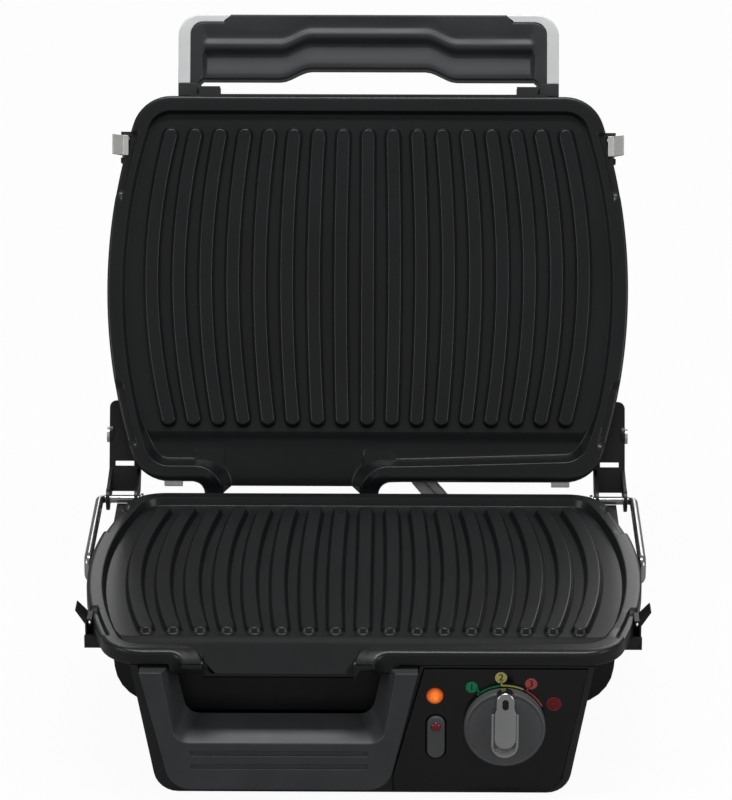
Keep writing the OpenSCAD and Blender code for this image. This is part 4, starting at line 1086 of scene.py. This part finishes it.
def add_lamp_lens():
    made = bmesh.new()
    rows = [(LAMP_R, -0.003), (LAMP_R, 0.0002), (LAMP_R - 0.0005, 0.0007)]
    rows += [(LAMP_R * s, h) for s, h in ((0.66, 0.0011), (0.33, 0.0014), (0.06, 0.0015))]
    turned(made, rows, 16)
    piece("lamp_facets", made, "base", "lamp_amber", ["lamp_lens"], on_front(LAMP_X, LAMP_Z), 5, faceted=True)


def add_rocker():
    made = bmesh.new()
    high, half = ROCKER_L / 2, ROCKER_W / 2
    skin(made, [
        bar_loop(inset - high, high - inset, half - inset, 0, h)
        for inset, h in ((0, -0.003), (0, 0.0008), (0.0003, 0.0013), (0.0008, 0.0016))
    ])
    piece("rocker_key", made, "switch_rocker", "dial_plastic", ["rocker"], on_front(ROCKER_X, ROCKER_Z))
    bulb = bmesh.new()
    angles = [math.radians(a) for a in range(0, 89, 11)]
    dome = [(LENS_R * math.cos(a), LENS_UP + LENS_R * 0.5 * math.sin(a)) for a in angles]
    turned(bulb, [(LENS_R, 0.0)] + dome + [(0.0001, LENS_UP + LENS_R * 0.5)], 32)
    piece("rocker_lens_dome", bulb, "switch_rocker", "lens_red", ["rocker_lens"], on_front(ROCKER_X, LENS_Z))


# ---------- printed scale ----------

SCALE_R, SCALE_W, PRINT_T, PRINT_GAP = 0.0238, 0.0010, 0.00006, 0.00003
DISC_R, FIGURE_SIZE = 0.0034, 0.0056
# digit, angle of its disc and of its tick, distance of the disc, its arc's start and end, ink
STEPS = [
    ("1", 129.5, 126.5, 0.0295, (97, 131), "green"),
    ("2", 94.5, 94.5, 0.0288, (64, 93), "yellow"),
    ("3", 59.5, 59.5, 0.0290, (28, 62), "red"),
]
TICK_HALF = 1.1
LAST_ANGLE, LAST_AWAY, LAST_R, LAST_RINGS, LINE_W = 24.5, 0.0305, 0.0042, (0.0014, 0.0028), 0.00044


def printed_arc(made, radius, width, start, end, steps, middle=(0, 0), low=0.0):
    """Thin printed arc from start to end, in degrees; a whole turn is a ring."""
    c, s = math.cos(math.radians(start)), math.sin(math.radians(start))
    inner, outer, high = radius - width / 2, radius + width / 2, low + PRINT_T
    verts, edges = loop_edges(made, [
        (middle[0] + r * c, middle[1] + r * s, h)
        for r, h in ((inner, low), (outer, low), (outer, high), (inner, high))
    ])
    bmesh.ops.spin(
        made, geom=verts + edges, cent=(*middle, 0), axis=(0, 0, 1), angle=math.radians(end - start), steps=steps,
        use_merge=end - start == 360,
    )
    cap(made)


def disc(made, x, v, r):
    """Thin printed disc."""
    bmesh.ops.create_cone(
        made, cap_ends=True, segments=40, radius1=r, radius2=r, depth=PRINT_T,
        matrix=Matrix.Translation((x, v, PRINT_T / 2)),
    )


def round_dial(angle, away):
    """A place at an angle, in degrees from the right, and a distance from the dial's axis."""
    return away * math.cos(math.radians(angle)), away * math.sin(math.radians(angle))


def figure(made, text, size, x, v, h):
    """A plain raised figure, centred on (x, v)."""
    curve = bpy.data.curves.new("figure", "FONT")
    curve.body = text
    curve.size = size
    curve.align_x = "CENTER"
    curve.align_y = "CENTER"
    curve.extrude = PRINT_T / 2
    curve.offset = 0.00004
    carrier = bpy.data.objects.new("figure", curve)
    mesh = bpy.data.meshes.new_from_object(carrier)
    mesh.transform(Matrix.Translation((x, v, h)))
    made.from_mesh(mesh)
    bpy.data.objects.remove(carrier)
    bpy.data.curves.remove(curve)
    bpy.data.meshes.remove(mesh)


def add_scale():
    """Printed scale round the dial: three arcs, three numbered discs with their ticks, and a last disc."""
    place = on_front(DIAL_X, DIAL_Z, PRINT_GAP)
    figures = bmesh.new()
    for digit, angle, tick, away, arc_ends, colour in STEPS:
        made = bmesh.new()
        printed_arc(made, SCALE_R, SCALE_W, *arc_ends, 20)
        x, v = round_dial(angle, away)
        disc(made, x, v, DISC_R)
        gap = away - DISC_R - SCALE_R
        printed_arc(made, SCALE_R + gap / 2 + 0.0002, gap + 0.0012, tick - TICK_HALF, tick + TICK_HALF, 3)
        piece("scale_" + colour, made, "base", "gloss_fascia", [], place, finish="print_" + colour)
        figure(figures, digit, FIGURE_SIZE, x, v, PRINT_T * 1.6)
    made, rings = bmesh.new(), bmesh.new()
    middle = round_dial(LAST_ANGLE, LAST_AWAY)
    disc(made, *middle, LAST_R)
    piece("scale_last", made, "base", "gloss_fascia", [], place, finish="print_dark_red")
    for radius in LAST_RINGS:
        printed_arc(rings, radius, LINE_W, 0, 360, 32, middle, PRINT_T)
    piece("scale_last_rings", rings, "base", "gloss_fascia", [], place)
    piece("scale_figures", figures, "base", "gloss_fascia", [], place)


# ---------- leads ----------

# middle of the two leads in millimetres, from the base to the lid
LEAD_ROUTE = [
    (57, 112, 63), (57, 121, 63), (55, 130, 64.5), (51, 140, 68.5), (46, 150, 75),
    (38, 159, 81.5), (33, 164.5, 86), (31.5, 167, 91), (31.5, 169.5, 96.5),
]
LEAD_R, LEAD_HALF_GAP = 0.0031, 0.0033
LEAD_SIDES, STRANDS, STRAND_H, STRAND_LAY = 20, 5, 0.00012, 1.1


def smooth_route(points, per_span):
    """Catmull-Rom curve through points."""
    ends = [points[0] * 2 - points[1]] + points + [points[-1] * 2 - points[-2]]
    route = []
    for a, b, c, d in zip(ends, ends[1:], ends[2:], ends[3:]):
        for k in range(per_span):
            t = k / per_span
            route.append(0.5 * (2 * b + (c - a) * t + (2 * a - 5 * b + 4 * c - d) * t * t
                                + (3 * b - a - 3 * c + d) * t * t * t))
    return route + [points[-1]]


def add_lead():
    """The two woven sleeves side by side, along one fixed route that curves up near where the lid's arms turn."""
    made = bmesh.new()
    route = smooth_route([Vector((x, y, z)) * 0.001 for x, y, z in LEAD_ROUTE], 9)
    for side in (-1, 1):
        sections = []
        for k, centre in enumerate(route):
            along = (route[min(k + 1, len(route) - 1)] - route[max(k - 1, 0)]).normalized()
            across = Vector((1, 0, 0)) - along * along.x
            across.normalize()
            up = along.cross(across)
            mid = centre + across * LEAD_HALF_GAP * side
            ring = []
            for n in range(LEAD_SIDES):
                a = 2 * math.pi * n / LEAD_SIDES
                crossing = math.sin(STRANDS * a + k * STRAND_LAY) * math.sin(STRANDS * a - k * STRAND_LAY)
                out = across * math.cos(a) + up * math.sin(a)
                ring.append(mid + out * (LEAD_R + STRAND_H * crossing))
            sections.append([(p.x, p.y - ORIGIN_Y, p.z) for p in ring])
        skin(made, sections)
    bmesh.ops.recalc_face_normals(made, faces=made.faces)
    sleeves = shown("lead_sleeves", made, "braid", 180)
    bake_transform(sleeves)
    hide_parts("element_lead")


finish_cad_nodes()
add_plates()
add_grip()
add_trim(-1)
add_trim(1)
add_dial()
add_dial_grip()
add_lamp_lens()
add_rocker()
add_scale()
add_lead()
soften_cad_nodes()
add_camera()
add_stage()
add_world()
for lamp in LAMPS:
    add_lamp(*lamp)
